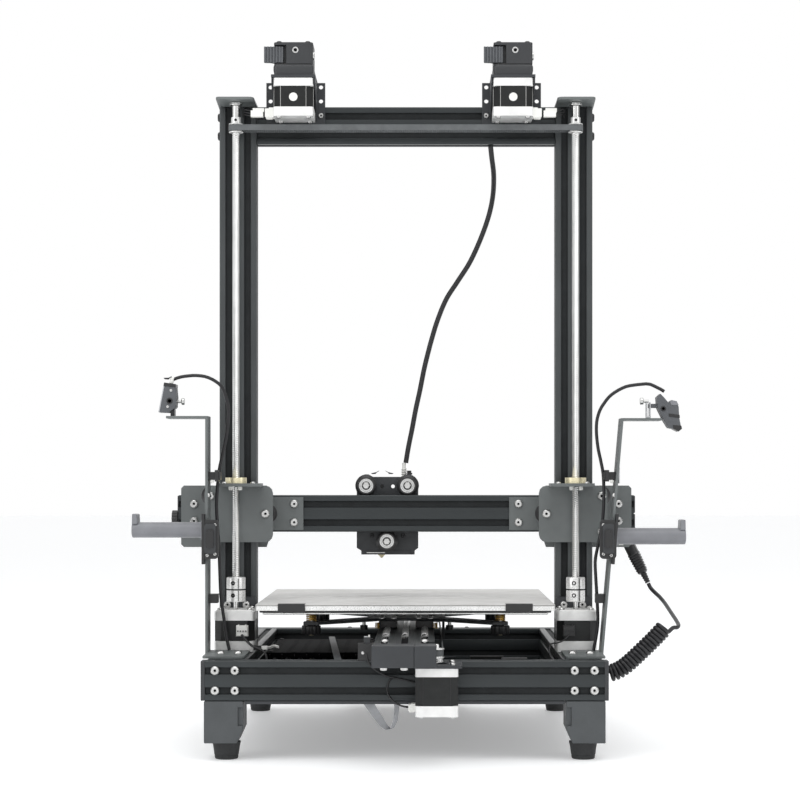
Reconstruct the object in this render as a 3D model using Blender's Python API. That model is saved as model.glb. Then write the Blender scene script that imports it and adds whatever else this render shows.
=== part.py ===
"""Filament printer with an open slotted-beam frame, a lifting gantry and a sliding bed.

The code works in millimetres and the scene in metres. X runs across the machine, Z is up, and Y
runs from the motor end to the operator's end, counted from the outer face of the near beam. The
empty called machine then puts the origin on the floor, under the middle of the whole frame.
"""
import math

import bmesh
import bpy
from mathutils import Matrix, Vector

MM = 0.001
GAP = 0.3                # air left between neighbouring pieces

# Slotted beams
CELL = 20.0              # one slot's share of a beam's width
BASE_HALF = 200.0        # half the length of the cross beams
BASE_DEPTH = 470.0
BASE_LOW = 60.0
BASE_TOP = 100.0
RAIL_X = 180.0           # middle of a side rail, an upright and a lead screw
UPRIGHT_Y = 158.0
UPRIGHT_TOP = 681.0
TOP_BEAM_Z = 661.0
BED_RAIL_FRONT = -81.0
BED_RAIL_BLOCK = 30.0    # solid end block of the bed rail
BED_RAIL_TOP = BASE_TOP + GAP + CELL
ROD_R = 3.6
ROD_Z = BED_RAIL_TOP - 1.0
DISPLAY_BACK = 511.0
MID_Y = (BED_RAIL_FRONT + DISPLAY_BACK) / 2

# Motors, screws and belts
MOTOR_HALF = 21.15
MOTOR_LONG = 40.0
Y_MOTOR = (31.8, -24.0)  # its shaft, in X and Y
SCREW_Y = 124.0
SCREW_R = 4.0
SCREW_TOP = 678.0
PULLEY_R = 5.2
BELT_HEIGHT = 6.0
BELT_THICK = 1.3
SYNC_BELT_Z = 653.8
BED_BELT_END = 452.0     # turning point of the bed belt, far from its motor

# Moving pieces at rest
BED_Y = 220.0
BED_HALF = 155.0
BED_TOP = 152.0
KNOB_REACH = 100.0       # levelling knobs, from the middle of the bed
CARRIAGE_LOW = 128.0
CARRIAGE_TOP = 131.0
X_BEAM_Y = 194.0
X_BEAM_Z = 244.5
X_BEAM_HALF = 248.0
X_CARRIAGE = -21.4       # middle of the print head's carriage
WHEEL_R = 12.0
NOZZLE = (-28.0, 240.0)
FEEDER_X = {"left": -118.0, "right": 113.0}
FEEDER_LOW = 663.5       # underside of a feeder's motor
FEEDER_TOP = 741.0
REACH = {"left": 284.0, "right": 291.0}   # tips of the spool arms

SIDES = {"left": -1, "right": 1}
FACETS = 20


# ---------------------------------------------------------------- materials

def finish(name, colour, roughness, metallic=0.0):
    """One Principled material."""
    material = bpy.data.materials.new(name)
    material.use_nodes = True
    shader = material.node_tree.nodes["Principled BSDF"]
    shader.inputs["Base Color"].default_value = (*colour, 1.0)
    shader.inputs["Roughness"].default_value = roughness
    shader.inputs["Metallic"].default_value = metallic
    return material


FINISHES = {
    "anodised": ((0.040, 0.042, 0.044), 0.45, 0.4),
    "plate": ((0.055, 0.062, 0.068), 0.5, 0.2),
    "moulded": ((0.030, 0.032, 0.034), 0.55, 0.0),
    "motor": ((0.045, 0.045, 0.045), 0.4, 0.3),
    "steel": ((0.62, 0.62, 0.61), 0.25, 1.0),
    "bed": ((0.42, 0.42, 0.41), 0.5, 0.3),
    "rubber": ((0.020, 0.020, 0.021), 0.7, 0.0),
    "wheel": ((0.03, 0.03, 0.03), 0.4, 0.0),
}


# ---------------------------------------------------------------- outlines

def circle(x, y, radius, count=FACETS):
    """Points of a circle, counter-clockwise."""
    return arc(x, y, radius, 0, 360 - 360 / count, count)


def arc(x, y, radius, start, end, count):
    """Evenly spaced points of an arc, its angles in degrees."""
    angles = [math.radians(start + (end - start) * i / (count - 1)) for i in range(count)]
    return [(x + radius * math.cos(a), y + radius * math.sin(a)) for a in angles]


def rectangle(x0, x1, y0, y1):
    return [(x0, y0), (x1, y0), (x1, y1), (x0, y1)]


def rounded(x0, x1, y0, y1, radius, count=4):
    """Rectangle with rounded corners."""
    corners = ((x1, y0, -90, -1, 1), (x1, y1, 0, -1, -1), (x0, y1, 90, 1, -1), (x0, y0, 180, 1, 1))
    points = []
    for x, y, start, sx, sy in corners:
        points += arc(x + sx * radius, y + sy * radius, radius, start, start + 90, count)
    return points


def stadium(x0, y0, x1, y1, radius, count=9):
    """Outline of a loop that runs round two equal circles."""
    heading = math.degrees(math.atan2(y1 - y0, x1 - x0))
    return (arc(x1, y1, radius, heading - 90, heading + 90, count)
            + arc(x0, y0, radius, heading + 90, heading + 270, count))


def mirrored(points, side):
    """The same outline on the left (side -1) or the right (side 1)."""
    return [(side * x, y) for x, y in points]


def beam_outline(a, b, cells_a, cells_b):
    """Cross-section of a slotted beam: a T-slot in the middle of every cell's outer edge."""
    slot = [(-3.7, 0), (-3.4, 0.3), (-3.4, 1.9), (-5.5, 1.9), (-5.5, 3.9), (-3.2, 6.1)]
    slot += [(-x, y) for x, y in reversed(slot)]
    wide, tall = cells_a * CELL, cells_b * CELL
    walls = ((0, 0, 1, 0, cells_a), (wide, 0, 0, 1, cells_b),
             (wide, tall, -1, 0, cells_a), (0, tall, 0, -1, cells_b))
    points = []
    for x, y, dx, dy, cells in walls:
        points.append((x, y))
        for cell in range(cells):
            middle = (cell + 0.5) * CELL
            for along, deep in slot:
                step = middle + along
                points.append((x + dx * step - dy * deep, y + dy * step + dx * deep))
    return [(a - wide / 2 + x, b - tall / 2 + y) for x, y in points]


# ---------------------------------------------------------------- solids

def place(plane, a, b, depth):
    """A point of a drawing plane, with its depth along the plane's normal."""
    return {"XY": (a, b, depth), "XZ": (a, depth, b), "YZ": (depth, a, b)}[plane]


def loft(rings, closed=False):
    """Skin over rings of points, with flat ends unless the last ring meets the first."""
    body = bmesh.new()
    loops = [[body.verts.new(point) for point in ring] for ring in rings]
    pairs = list(zip(loops, loops[1:]))
    if closed:
        pairs.append((loops[-1], loops[0]))
    for lower, upper in pairs:
        for i in range(len(lower)):
            j = (i + 1) % len(lower)
            body.faces.new((lower[i], lower[j], upper[j], upper[i]))
    if not closed:
        body.faces.new(loops[0])
        body.faces.new(loops[-1])
    bmesh.ops.recalc_face_normals(body, faces=body.faces[:])
    return body


def prism(plane, outline, low, high):
    """An outline pulled out along the plane's normal."""
    return loft([[place(plane, a, b, depth) for a, b in outline] for depth in (low, high)])


def pierced(plane, outline, holes, low, high):
    """A plate with holes right through it."""
    body = bmesh.new()
    edges = []
    for loop in [outline] + holes:
        verts = [body.verts.new((a, b, 0)) for a, b in loop]
        edges += [body.edges.new((verts[i - 1], verts[i])) for i in range(len(verts))]
    bmesh.ops.triangle_fill(body, edges=edges, use_beauty=True, normal=(0, 0, 1))
    grown = bmesh.ops.extrude_face_region(body, geom=body.faces[:])["geom"]
    raised = {v for v in grown if isinstance(v, bmesh.types.BMVert)}
    for vert in body.verts:
        depth = high if vert in raised else low
        vert.co = place(plane, vert.co.x, vert.co.y, depth)
    bmesh.ops.recalc_face_normals(body, faces=body.faces[:])
    return body


def box(x0, x1, y0, y1, z0, z1):
    return prism("XY", rectangle(x0, x1, y0, y1), z0, z1)


def turned(plane, a, b, profile, closed=False, count=FACETS):
    """A profile of (radius, depth) points turned about the plane's normal through (a, b)."""
    rings = []
    for radius, depth in profile:
        rings.append([place(plane, u, v, depth) for u, v in circle(a, b, radius, count)])
    return loft(rings, closed)


def motor_body(plane, a, b, low, high):
    """A square motor: a dark core between two wider end caps."""
    cap, core = 8.5, MOTOR_HALF - 0.4
    rings = []
    for depth, half, corner in ((low, MOTOR_HALF, 3.2), (low + cap, MOTOR_HALF, 3.2),
                                (low + cap, core, 7.5), (high - cap, core, 7.5),
                                (high - cap, MOTOR_HALF, 3.2), (high, MOTOR_HALF, 3.2)):
        inner = half - corner
        ring = [(half, -inner), (half, inner), (inner, half), (-inner, half),
                (-half, inner), (-half, -inner), (-inner, -half), (inner, -half)]
        rings.append([place(plane, a + x, b + y, depth) for x, y in ring])
    return loft(rings)


def as_object(name, body):
    """A bmesh as an object, which uses up the bmesh."""
    mesh = bpy.data.meshes.new(name)
    body.to_mesh(mesh)
    body.free()
    made = bpy.data.objects.new(name, mesh)
    bpy.context.scene.collection.objects.link(made)
    return made


def fused(adds, cuts=()):
    """One body: the first solid, the others joined to it, and the cutters taken away."""
    base, *others = [as_object("piece", body) for body in adds]
    cutters = [as_object("cutter", body) for body in cuts]
    for operand in others + cutters:
        modifier = base.modifiers.new("Boolean", "BOOLEAN")
        modifier.operation = "DIFFERENCE" if operand in cutters else "UNION"
        modifier.object = operand
    bpy.context.view_layer.update()
    evaluated = base.evaluated_get(bpy.context.evaluated_depsgraph_get())
    result = bmesh.new()
    result.from_mesh(evaluated.data)
    for used in [base] + others + cutters:
        mesh = used.data
        bpy.data.objects.remove(used)
        bpy.data.meshes.remove(mesh)
    return result


def part(name, body, material, origin=(0, 0, 0)):
    """The finished piece, in metres, with its own material and its origin at the given point."""
    bmesh.ops.translate(body, verts=body.verts, vec=-Vector(origin))
    bmesh.ops.scale(body, verts=body.verts, vec=(MM, MM, MM))
    made = as_object(name, body)
    made.parent = bpy.data.objects["machine"]
    made.location = Vector(origin) * MM
    made.data.shade_smooth()
    made.data.set_sharp_from_angle(angle=math.radians(35))
    made.data.materials.append(finish(name, *FINISHES[material]))
    return made


def beam(name, plane, a, b, cells, low, high):
    """A plain length of slotted beam."""
    return part(name, prism(plane, beam_outline(a, b, *cells), low, high), "anodised")


def smooth_route(points, spacing):
    """Evenly spaced points on a smooth curve through the given ones."""
    knots = [Vector(p) for p in points]
    knots = [2 * knots[0] - knots[1]] + knots + [2 * knots[-1] - knots[-2]]
    fine = []
    for a, b, c, d in zip(knots, knots[1:], knots[2:], knots[3:]):
        for i in range(24):
            t = i / 24
            fine.append(0.5 * (2 * b + (c - a) * t + (2 * a - 5 * b + 4 * c - d) * t * t
                               + (3 * b - a - 3 * c + d) * t ** 3))
    fine.append(knots[-2])
    lengths = [(q - p).length for p, q in zip(fine, fine[1:])]
    count = max(3, round(sum(lengths) / spacing))
    step = sum(lengths) / count
    route, walked = [fine[0]], 0.0
    for start, end, length in zip(fine, fine[1:], lengths):
        while length and walked + length >= step * len(route) and len(route) < count:
            share = (step * len(route) - walked) / length
            route.append(start.lerp(end, share))
        walked += length
    return route + [fine[-1]]


def cord(name, points, diameter, sides=2, spacing=2.5):
    """A plain tube along a route, with flat ends."""
    curve = bpy.data.curves.new(name, "CURVE")
    curve.dimensions = "3D"
    curve.resolution_u = 1
    curve.render_resolution_u = 0
    curve.bevel_depth = diameter / 2 * MM
    curve.bevel_resolution = sides
    curve.use_fill_caps = True
    route = smooth_route(points, spacing * diameter)
    spline = curve.splines.new("POLY")
    spline.points.add(len(route) - 1)
    for target, point in zip(spline.points, route):
        target.co = (*(point * MM), 1.0)
    made = bpy.data.objects.new(name, curve)
    bpy.context.scene.collection.objects.link(made)
    made.parent = bpy.data.objects["machine"]
    curve.materials.append(finish(name, *FINISHES["rubber"]))
    return made


# ---------------------------------------------------------------- frame

def make_base():
    """Cross beams, side rails, floor tray and feet."""
    beam("near_cross_beam", "YZ", CELL / 2, 80, (1, 2), -BASE_HALF, BASE_HALF)
    beam("far_cross_beam", "YZ", BASE_DEPTH - CELL / 2, 80, (1, 2), -BASE_HALF, BASE_HALF)
    rail_ends = (CELL + GAP, BASE_DEPTH - CELL - GAP)
    beam("side_rail_left", "XZ", -RAIL_X, 80, (2, 2), *rail_ends)
    rail = prism("XZ", beam_outline(RAIL_X, 80, 2, 2), *rail_ends)
    gland = turned("YZ", 65, 82, [(7, 196.5), (7, 203), (5.5, 206)])
    part("side_rail_right", fused([rail, gland]), "anodised")

    wide, narrow = BASE_HALF - 1, RAIL_X - CELL
    tray = [(-narrow, 1), (narrow, 1), (narrow, 48), (wide, 48), (wide, 422), (narrow, 422),
            (narrow, 469), (-narrow, 469), (-narrow, 422), (-wide, 422), (-wide, 48), (-narrow, 48)]
    part("base_tray", prism("XY", tray, BASE_LOW - GAP - 3, BASE_LOW - GAP), "plate")

    block = [(201, 17.5), (201, 59.7), (161.6, 59.7), (161.6, 32), (168, 17.5)]
    for end, low, pad_y in (("near", 0, 20), ("far", BASE_DEPTH - 44, 450)):
        for name, side in SIDES.items():
            body = prism("XZ", mirrored(block, side), low, low + 44)
            inner, outer = sorted((side * 150, side * 166.5))
            edge = low if end == "near" else low + 44
            notch = box(inner, outer, edge - 3, edge + 3, 34, 80)
            pad = turned("XY", side * RAIL_X, pad_y, [(11.7, 0), (14.65, 19)], count=28)
            part(f"foot_{end}_{name}", fused([body, pad], [notch]), "moulded")


def make_tower():
    """Uprights, top beam and the plates that close the uprights."""
    for name, side in SIDES.items():
        beam(f"upright_{name}", "XY", side * RAIL_X, UPRIGHT_Y, (2, 1), BASE_TOP + GAP, UPRIGHT_TOP)
        outline = [(202, 168), (160, 168)] + arc(166, 112, 6, 180, 270, 4) + arc(196, 110, 4, 270, 360, 4)
        plate = prism("XY", mirrored(outline, side), UPRIGHT_TOP + GAP, UPRIGHT_TOP + GAP + 3)
        part(f"top_plate_{name}", plate, "plate")
    reach = RAIL_X - CELL - GAP
    beam("top_beam", "YZ", UPRIGHT_Y, TOP_BEAM_Z, (1, 2), -reach, reach)


def make_bed_rail():
    """The middle rail: a solid end block, three rods in the top slots and room for the belt."""
    middle = BASE_TOP + GAP + CELL / 2
    block_end = BED_RAIL_FRONT + BED_RAIL_BLOCK
    rail = prism("XZ", beam_outline(0, middle, 3, 1), block_end - 1, BASE_DEPTH)
    block = box(-30.2, 30.2, BED_RAIL_FRONT, block_end, middle - 10, middle + 10.2)
    rods = [turned("XZ", x, ROD_Z, [(ROD_R, 60), (ROD_R, 455)], count=16)
            for x in (-CELL, 0, CELL)]
    notches = [box(20, 32, -36, -12, 98, 123), box(20, 32, 440, 472, 98, 123)]
    part("y_rail", fused([rail, block] + rods, notches), "anodised")


def make_drives():
    """The three drive motors of the frame, their belts and the lead screws."""
    x, y = Y_MOTOR
    pulley = [(8, 101), (8, 106.2), (PULLEY_R, 106.2), (PULLEY_R, 113.8), (8, 113.8), (8, 117)]
    motor = fused([
        motor_body("XY", x, y, 49, 96),
        prism("XY", rounded(9, 57, -47, -0.5, 3), 95.5, 99.8),
        turned("XY", x, y, [(2.5, 99), (2.5, 118)], count=12),
        turned("XY", x, y, pulley),
    ])
    part("y_motor", motor, "motor")

    inner, outer = PULLEY_R + 0.4, PULLEY_R + 0.4 + BELT_THICK
    middle = 110.2
    loop = pierced("XY", stadium(x, y, x, BED_BELT_END, outer),
                   [stadium(x, y, x, BED_BELT_END, inner)],
                   middle - BELT_HEIGHT / 2, middle + BELT_HEIGHT / 2)
    part("y_belt", loop, "rubber")

    for name, side in SIDES.items():
        x = side * RAIL_X
        shelf = box(x - 20.5, x + 20.5, 104, 147.7, 139.5, 143)
        back = box(x - 19.5, x + 19.5, 144.7, 147.5, 139, 156)
        body = motor_body("XY", x, SCREW_Y, BASE_TOP + GAP, BASE_TOP + MOTOR_LONG)
        part(f"z_motor_{name}", fused([body, shelf, back]), "motor")
        low, high = SYNC_BELT_Z - 3.7, SYNC_BELT_Z + 3.7
        profile = [(2.5, 143.4), (2.5, 152), (10, 152), (10, 178), (SCREW_R, 178), (SCREW_R, low - 1.2),
                   (7.6, low - 1.2), (7.6, low), (PULLEY_R + 1, low), (PULLEY_R + 1, high),
                   (7.6, high), (7.6, high + 1.2), (PULLEY_R, high + 1.2), (PULLEY_R, high + 8),
                   (SCREW_R, high + 8), (SCREW_R, SCREW_TOP)]
        screw = turned("XY", x, SCREW_Y, profile)
        part(f"leadscrew_{name}", screw, "steel", (x, SCREW_Y, SCREW_TOP / 2))

    inner, outer = PULLEY_R + 1.4, PULLEY_R + 1.4 + BELT_THICK
    loop = pierced("XY", stadium(-RAIL_X, SCREW_Y, RAIL_X, SCREW_Y, outer),
                   [stadium(-RAIL_X, SCREW_Y, RAIL_X, SCREW_Y, inner)],
                   SYNC_BELT_Z - BELT_HEIGHT / 2, SYNC_BELT_Z + BELT_HEIGHT / 2)
    part("z_sync_belt", loop, "rubber")


def make_electronics():
    """Power supply in the base and the display unit at the operator's end."""
    case = [(200, 60), (415, 60), (415, 90), (222, 90), (222, 80), (200, 80)]
    part("power_supply", prism("YZ", case, -155, -40), "steel")
    wedge = [(470.3, 99), (481, 99), (DISPLAY_BACK, 58), (DISPLAY_BACK, 26), (505, 20), (475, 20),
             (470.3, 24)]
    part("display_unit", prism("YZ", wedge, -78, 78), "moulded")


# ---------------------------------------------------------------- feeders and holders

def make_feeder(name, x):
    """One filament feeder on the top beam: bracket, motor, housing and release lever."""
    holes = [circle(x + dx, z, 2.3, 10) for dx in (-27, 27) for z in (671, 686.5, 701.5)]
    back = pierced("XZ", rectangle(x - 31.5, x + 31.5, 660, 706), holes, 144.7, 147.7)
    motor_top = FEEDER_LOW + MOTOR_LONG
    low, high = motor_top + GAP, motor_top + GAP + 3
    neck = box(x - 22, x + 22, 145.2, 147.4, 702, high - 1)
    bore = circle(x, 123.15, 11.5, 16)
    shelf = pierced("XY", rectangle(x - 23.3, x + 23.3, 101.5, 147.2), [bore], low, high)
    gusset = [(147, high - 0.5), (103, high - 0.5), (103, low - 6), (147, low - 41)]
    sides = [prism("YZ", gusset, x + dx, x + dx + 1.3) for dx in (-23.1, 21.8)]
    part(f"extruder_bracket_{name}", fused([back, neck, shelf] + sides), "plate")
    part(f"extruder_motor_{name}", motor_body("XY", x, 123.15, FEEDER_LOW, motor_top), "motor")

    low, tab_low, tab_high = high + GAP, 719.6, 736.6
    left, right = x - 20.5, x + 20.5
    housing = [(left, low), (right, low), (right, FEEDER_TOP), (left, FEEDER_TOP),
               (left, tab_high + 1), (x - 9.5, tab_high + 1), (x - 9.5, tab_low - 1), (left, tab_low - 1)]
    body = fused([
        prism("XZ", housing, 108.8, 143.5),
        box(x - 7.4, right, 103, 109, low + 0.2, FEEDER_TOP - 0.2),
        box(left + 0.2, x, 103.2, 109, low + 0.4, tab_low - 1.2),
        box(left + 0.2, x, 103.2, 109, tab_high + 1.2, FEEDER_TOP - 0.4),
    ])
    part(f"extruder_body_{name}", body, "moulded")

    ridges = []
    for i in range(5):
        start = -30 + 3.2 * i
        ridges += [(start, 103.5), (start + 1.8, 103.5), (start + 2.1, 104.4), (start + 2.9, 104.4)]
    lever = ridges + [(-10.5, 104), (-10.5, 106.7), (-15, 107.2), (-15, 138)]
    lever += arc(-17.5, 139, 2.5, 20, 160, 5) + [(-20, 138), (-20, 112), (-30, 108)]
    body = prism("XY", [(x + dx, y) for dx, y in lever], tab_low, tab_high)
    part(f"extruder_lever_{name}", body, "moulded", (x - 17.5, 139, (tab_low + tab_high) / 2))


def bent_strip(points, thick):
    """Outline of a bent sheet-metal strip whose middle follows the points."""
    sides = ([], [])
    for i, point in enumerate(points):
        here = Vector(point)
        before = (here - Vector(points[i - 1])).normalized() if i else None
        after = (Vector(points[i + 1]) - here).normalized() if i + 1 < len(points) else None
        before, after = before or after, after or before
        bisector = (before + after).normalized()
        normal = Vector((-bisector.y, bisector.x))
        across = normal * (thick / 2 / bisector.dot(after))
        sides[0].append(tuple(here + across))
        sides[1].append(tuple(here - across))
    return sides[0] + sides[1][::-1]


def make_holder(name):
    """One spool arm and filament sensor on their bent support strip."""
    side = SIDES[name]
    foot, top, tab, level = {"left": (205.75, 205.75, 247.5, 346),
                             "right": (203.6, 224.5, 265, 343.8)}[name]
    strip = bent_strip([(178, 101.6), (foot, 101.6), (top, level), (tab, level)], 2.5)
    base = prism("XY", mirrored(rounded(163, foot - 0.5, 23, 99.5, 4), side), 100.3, 102.6)
    body = prism("XZ", mirrored(strip, side), 70, 100)
    part(f"support_strip_{name}", fused([body, base]), "plate")

    low, high = {"left": (221, 237), "right": (214, 231)}[name]
    strip_x = foot + (top - foot) * (220 - 101.6) / (level - 101.6)
    outer = strip_x + 4.5
    lean = math.atan2(top - foot, level - 101.6)
    middle = (low + high) / 2
    bar = [(98, low), (98, high)] + arc(82, middle, (high - low) / 2, 90, 270, 9)
    tip = REACH[name]
    arm = prism("YZ", bar, outer - 1.5, tip)
    lip = box(tip - 6, tip - 0.4, 74.5, 97.5, high - 1, high + 9)
    hollow = box(outer + 6, tip - 8, 90, 110, low + 2.5, high - 2.5)
    cheek = box(strip_x - 13, outer - 0.5, 64, 69.4, 199, 240)
    flange = bent_strip([(strip_x + 3.6 - 26 * math.tan(lean), 194),
                         (strip_x + 3.6 + 26 * math.tan(lean), 246)], 3.2)
    plate = prism("XZ", flange, 63.5, 99.5)
    body = fused([plate, arm, lip, cheek], [hollow])
    bmesh.ops.transform(body, matrix=Matrix.Diagonal((side, 1, 1, 1)), verts=body.verts)
    bmesh.ops.recalc_face_normals(body, faces=body.faces[:])
    part(f"spool_arm_{name}", body, "moulded")

    if name == "left":
        shell = [(-250, 381.7), (-238.4, 380), (-236.5, 367), (-237.5, 352), (-256, 351)]
        legs = [box(-244, -239.5, 79, 91, level + 1.7, 354),
                turned("YZ", 85, 362.7, [(1.6, -238.5), (1.6, -233), (3.5, -233), (3.5, -230)])]
    else:
        shell = [(260.4, 367), (264.5, 370.8), (268.7, 366.2), (272.9, 361), (276, 363.5), (281.2, 362.5),
                 (283.7, 357), (284.3, 345.4), (286.8, 334), (283.3, 331.3), (278, 334), (272.9, 335),
                 (267.7, 343.3), (261.4, 355.8)]
        legs = [box(250, 255, 79, 91, level + 1.7, 362), box(253, 268, 80, 90, 355.5, 360.5),
                turned("YZ", 85, 363, [(3.5, 244), (3.5, 247), (1.6, 247), (1.6, 251)])]
    sensor = fused([prism("XZ", shell, 76, 94)] + legs)
    part(f"filament_sensor_{name}", sensor, "moulded")


# ---------------------------------------------------------------- moving assemblies

def make_bed():
    """Build plate, the crossed carriage under it and the levelling knobs."""
    plate = box(-BED_HALF, BED_HALF, BED_Y - BED_HALF, BED_Y + BED_HALF, 145.8, BED_TOP)
    backing = box(-148, 148, BED_Y - 148, BED_Y + 148, 141.6, 146.3)
    part("heated_bed", fused([plate, backing]), "bed")

    arm, hub = KNOB_REACH + 8, 42
    corner = [(hub, hub - 20), (arm, arm - 16), (arm, arm), (arm - 16, arm), (hub - 20, hub)]
    outline = []
    for turn in range(4):
        quarter = Matrix.Rotation(math.radians(90 * turn), 2)
        outline += [tuple(quarter @ Vector(point)) for point in corner]
    outline = [(a, BED_Y + b) for a, b in outline]
    knobs = [(sx * KNOB_REACH, BED_Y + sy * KNOB_REACH) for sy in (-1, 1) for sx in (-1, 1)]
    sheet = pierced("XY", outline, [circle(a, b, 2.8, 12) for a, b in knobs],
                    CARRIAGE_LOW, CARRIAGE_TOP)
    low = BED_RAIL_TOP + 0.4
    blocks = []
    for x in (-CELL, CELL):
        groove_r = ROD_R + 0.4
        edge = math.degrees(math.asin((low - ROD_Z) / groove_r))
        shape = [(x - 8, low)] + arc(x, ROD_Z, groove_r, 180 - edge, edge, 9)
        shape += [(x + 8, low), (x + 8, 128.6), (x - 8, 128.6)]
        for y in (BED_Y - 35, BED_Y + 35):
            blocks.append(prism("XZ", shape, y - 15, y + 15))
    clamp = box(39.4, 42, BED_Y - 15, BED_Y + 15, 106.5, 128.5)
    part("bed_carriage", fused([sheet, clamp] + blocks), "plate")

    flutes = []
    for i in range(48):
        angle = 2 * math.pi * i / 48
        radius = 9.6 + 0.5 * math.cos(12 * angle)
        flutes.append((radius * math.cos(angle), radius * math.sin(angle)))
    names = ("near_left", "near_right", "far_left", "far_right")
    for name, (a, b) in zip(names, knobs):
        stud = circle(a, b, 2.0, 48)
        grip = [(a + u, b + v) for u, v in flutes]
        rings = [(grip, 117.5), (grip, 127.7), (stud, 127.7), (stud, 141.2)]
        knob = loft([[(u, v, z) for u, v in ring] for ring, z in rings])
        part(f"levelling_knob_{name}", knob, "moulded", (a, b, 122.5))


def make_gantry():
    """Cross beam with its end plates, screw nuts and the head's drive motor."""
    beam("x_beam", "YZ", X_BEAM_Y, X_BEAM_Z, (1, 2), -X_BEAM_HALF, X_BEAM_HALF)
    rear_y = X_BEAM_Y - CELL / 2 - GAP
    rear = [(112, 226.5), (146, 226.5), (152, 208), (242, 208), (245, 211), (245, 272),
            (242, 275), (152, 275), (146, 262.5), (112, 262.5)]
    for name, side in SIDES.items():
        x = side * RAIL_X
        back = prism("XZ", mirrored(rear, side), rear_y - 3, rear_y)
        front = prism("XZ", mirrored(rounded(142, 215, 214.6, 275, 8), side), 138, 141)
        ear = pierced("XY", mirrored(rounded(152.6, 199, 106, 140.5, 1), side),
                      [circle(x, SCREW_Y, SCREW_R + 1)], 274, 277.5)
        nut = turned("XY", x, SCREW_Y, [(SCREW_R + 0.4, 276.8), (11.2, 276.8), (11.2, 283.5),
                                        (SCREW_R + 0.4, 283.5)], closed=True)
        axles = [turned("XZ", side * a, z, [(3, 140), (3, rear_y - 1)], count=10)
                 for a, z in ((150, 245), (209, 264), (209, 226))]
        part(f"gantry_plate_{name}", fused([front, back, ear, nut] + axles), "plate")

    x, z = -227, X_BEAM_Z
    motor = fused([
        motor_body("XZ", x, z, 216, 256),
        prism("XZ", rounded(x - 21, x + 21, z - 21, z + 21, 3), 213.8, 216.5),
        turned("XZ", x, z, [(6.4, 205.5), (6.4, 206.2), (PULLEY_R, 206.2), (PULLEY_R, 212.8),
                            (6.4, 212.8), (6.4, 214.2)]),
    ] + [turned("XZ", x + dx, z + dz, [(3, 204.3), (3, 215)], count=10)
         for dx in (-15.5, 15.5) for dz in (-15.5, 15.5)])
    part("x_motor", motor, "motor")


def make_head():
    """Print head: carriage plate with its axles, three grooved wheels and the hot end."""
    plate_y = 214
    wheels = {"upper_left": (-44, 274.8), "upper_right": (1.2, 274.8), "lower": (X_CARRIAGE, 214)}
    (left, upper), (right, _), _ = wheels.values()
    outline = [(-50, 198.7), (9, 198.7), (9, 203), (13, 206), (13, 268)]
    outline += arc(right, upper, 12.6, -20, 100, 8) + [(-6, 284.5), (-37, 284.5)]
    outline += arc(left, upper, 12.6, 80, 200, 8)
    outline += [(-55, 268), (-55, 206), (-50, 203)]
    holes = [circle(x, 274, 2.1, 10) for x in (-27, -15)]
    plate = pierced("XZ", outline, holes, plate_y, plate_y + 3)
    axles = [turned("XZ", x, z, [(2.4, 187.5), (2.4, 216)], count=12) for x, z in wheels.values()]
    part("x_carriage_plate", fused([plate] + axles), "plate")

    half = 4.2
    slope = WHEEL_R - 9.3
    profile = [(2.8, -half), (9.3, -half), (WHEEL_R, slope - half), (WHEEL_R, half - slope),
               (9.3, half), (2.8, half)]
    for name, (x, z) in wheels.items():
        tyre = turned("XZ", x, z, [(r, X_BEAM_Y + d) for r, d in profile], closed=True, count=24)
        part(f"x_wheel_{name}", tyre, "wheel", (x, X_BEAM_Y, z))

    x, y = NOZZLE
    front = plate_y + 3 + GAP
    hot_end = fused([
        box(-50, 8, front, 252, 208, 266),
        box(x - 11, x + 9, y - 9, y + 10, 198, 209),
        turned("XY", x, y, [(0.7, 194), (3.6, 198.4), (3.6, 199)], count=12),
        turned("XZ", -21, 237, [(19, 250), (19, 260)], count=28),
        turned("XY", -1, 235, [(4.5, 265), (4.5, 288), (3.4, 299.6)], count=12),
    ])
    part("hot_end", hot_end, "moulded")


# ---------------------------------------------------------------- cords

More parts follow.
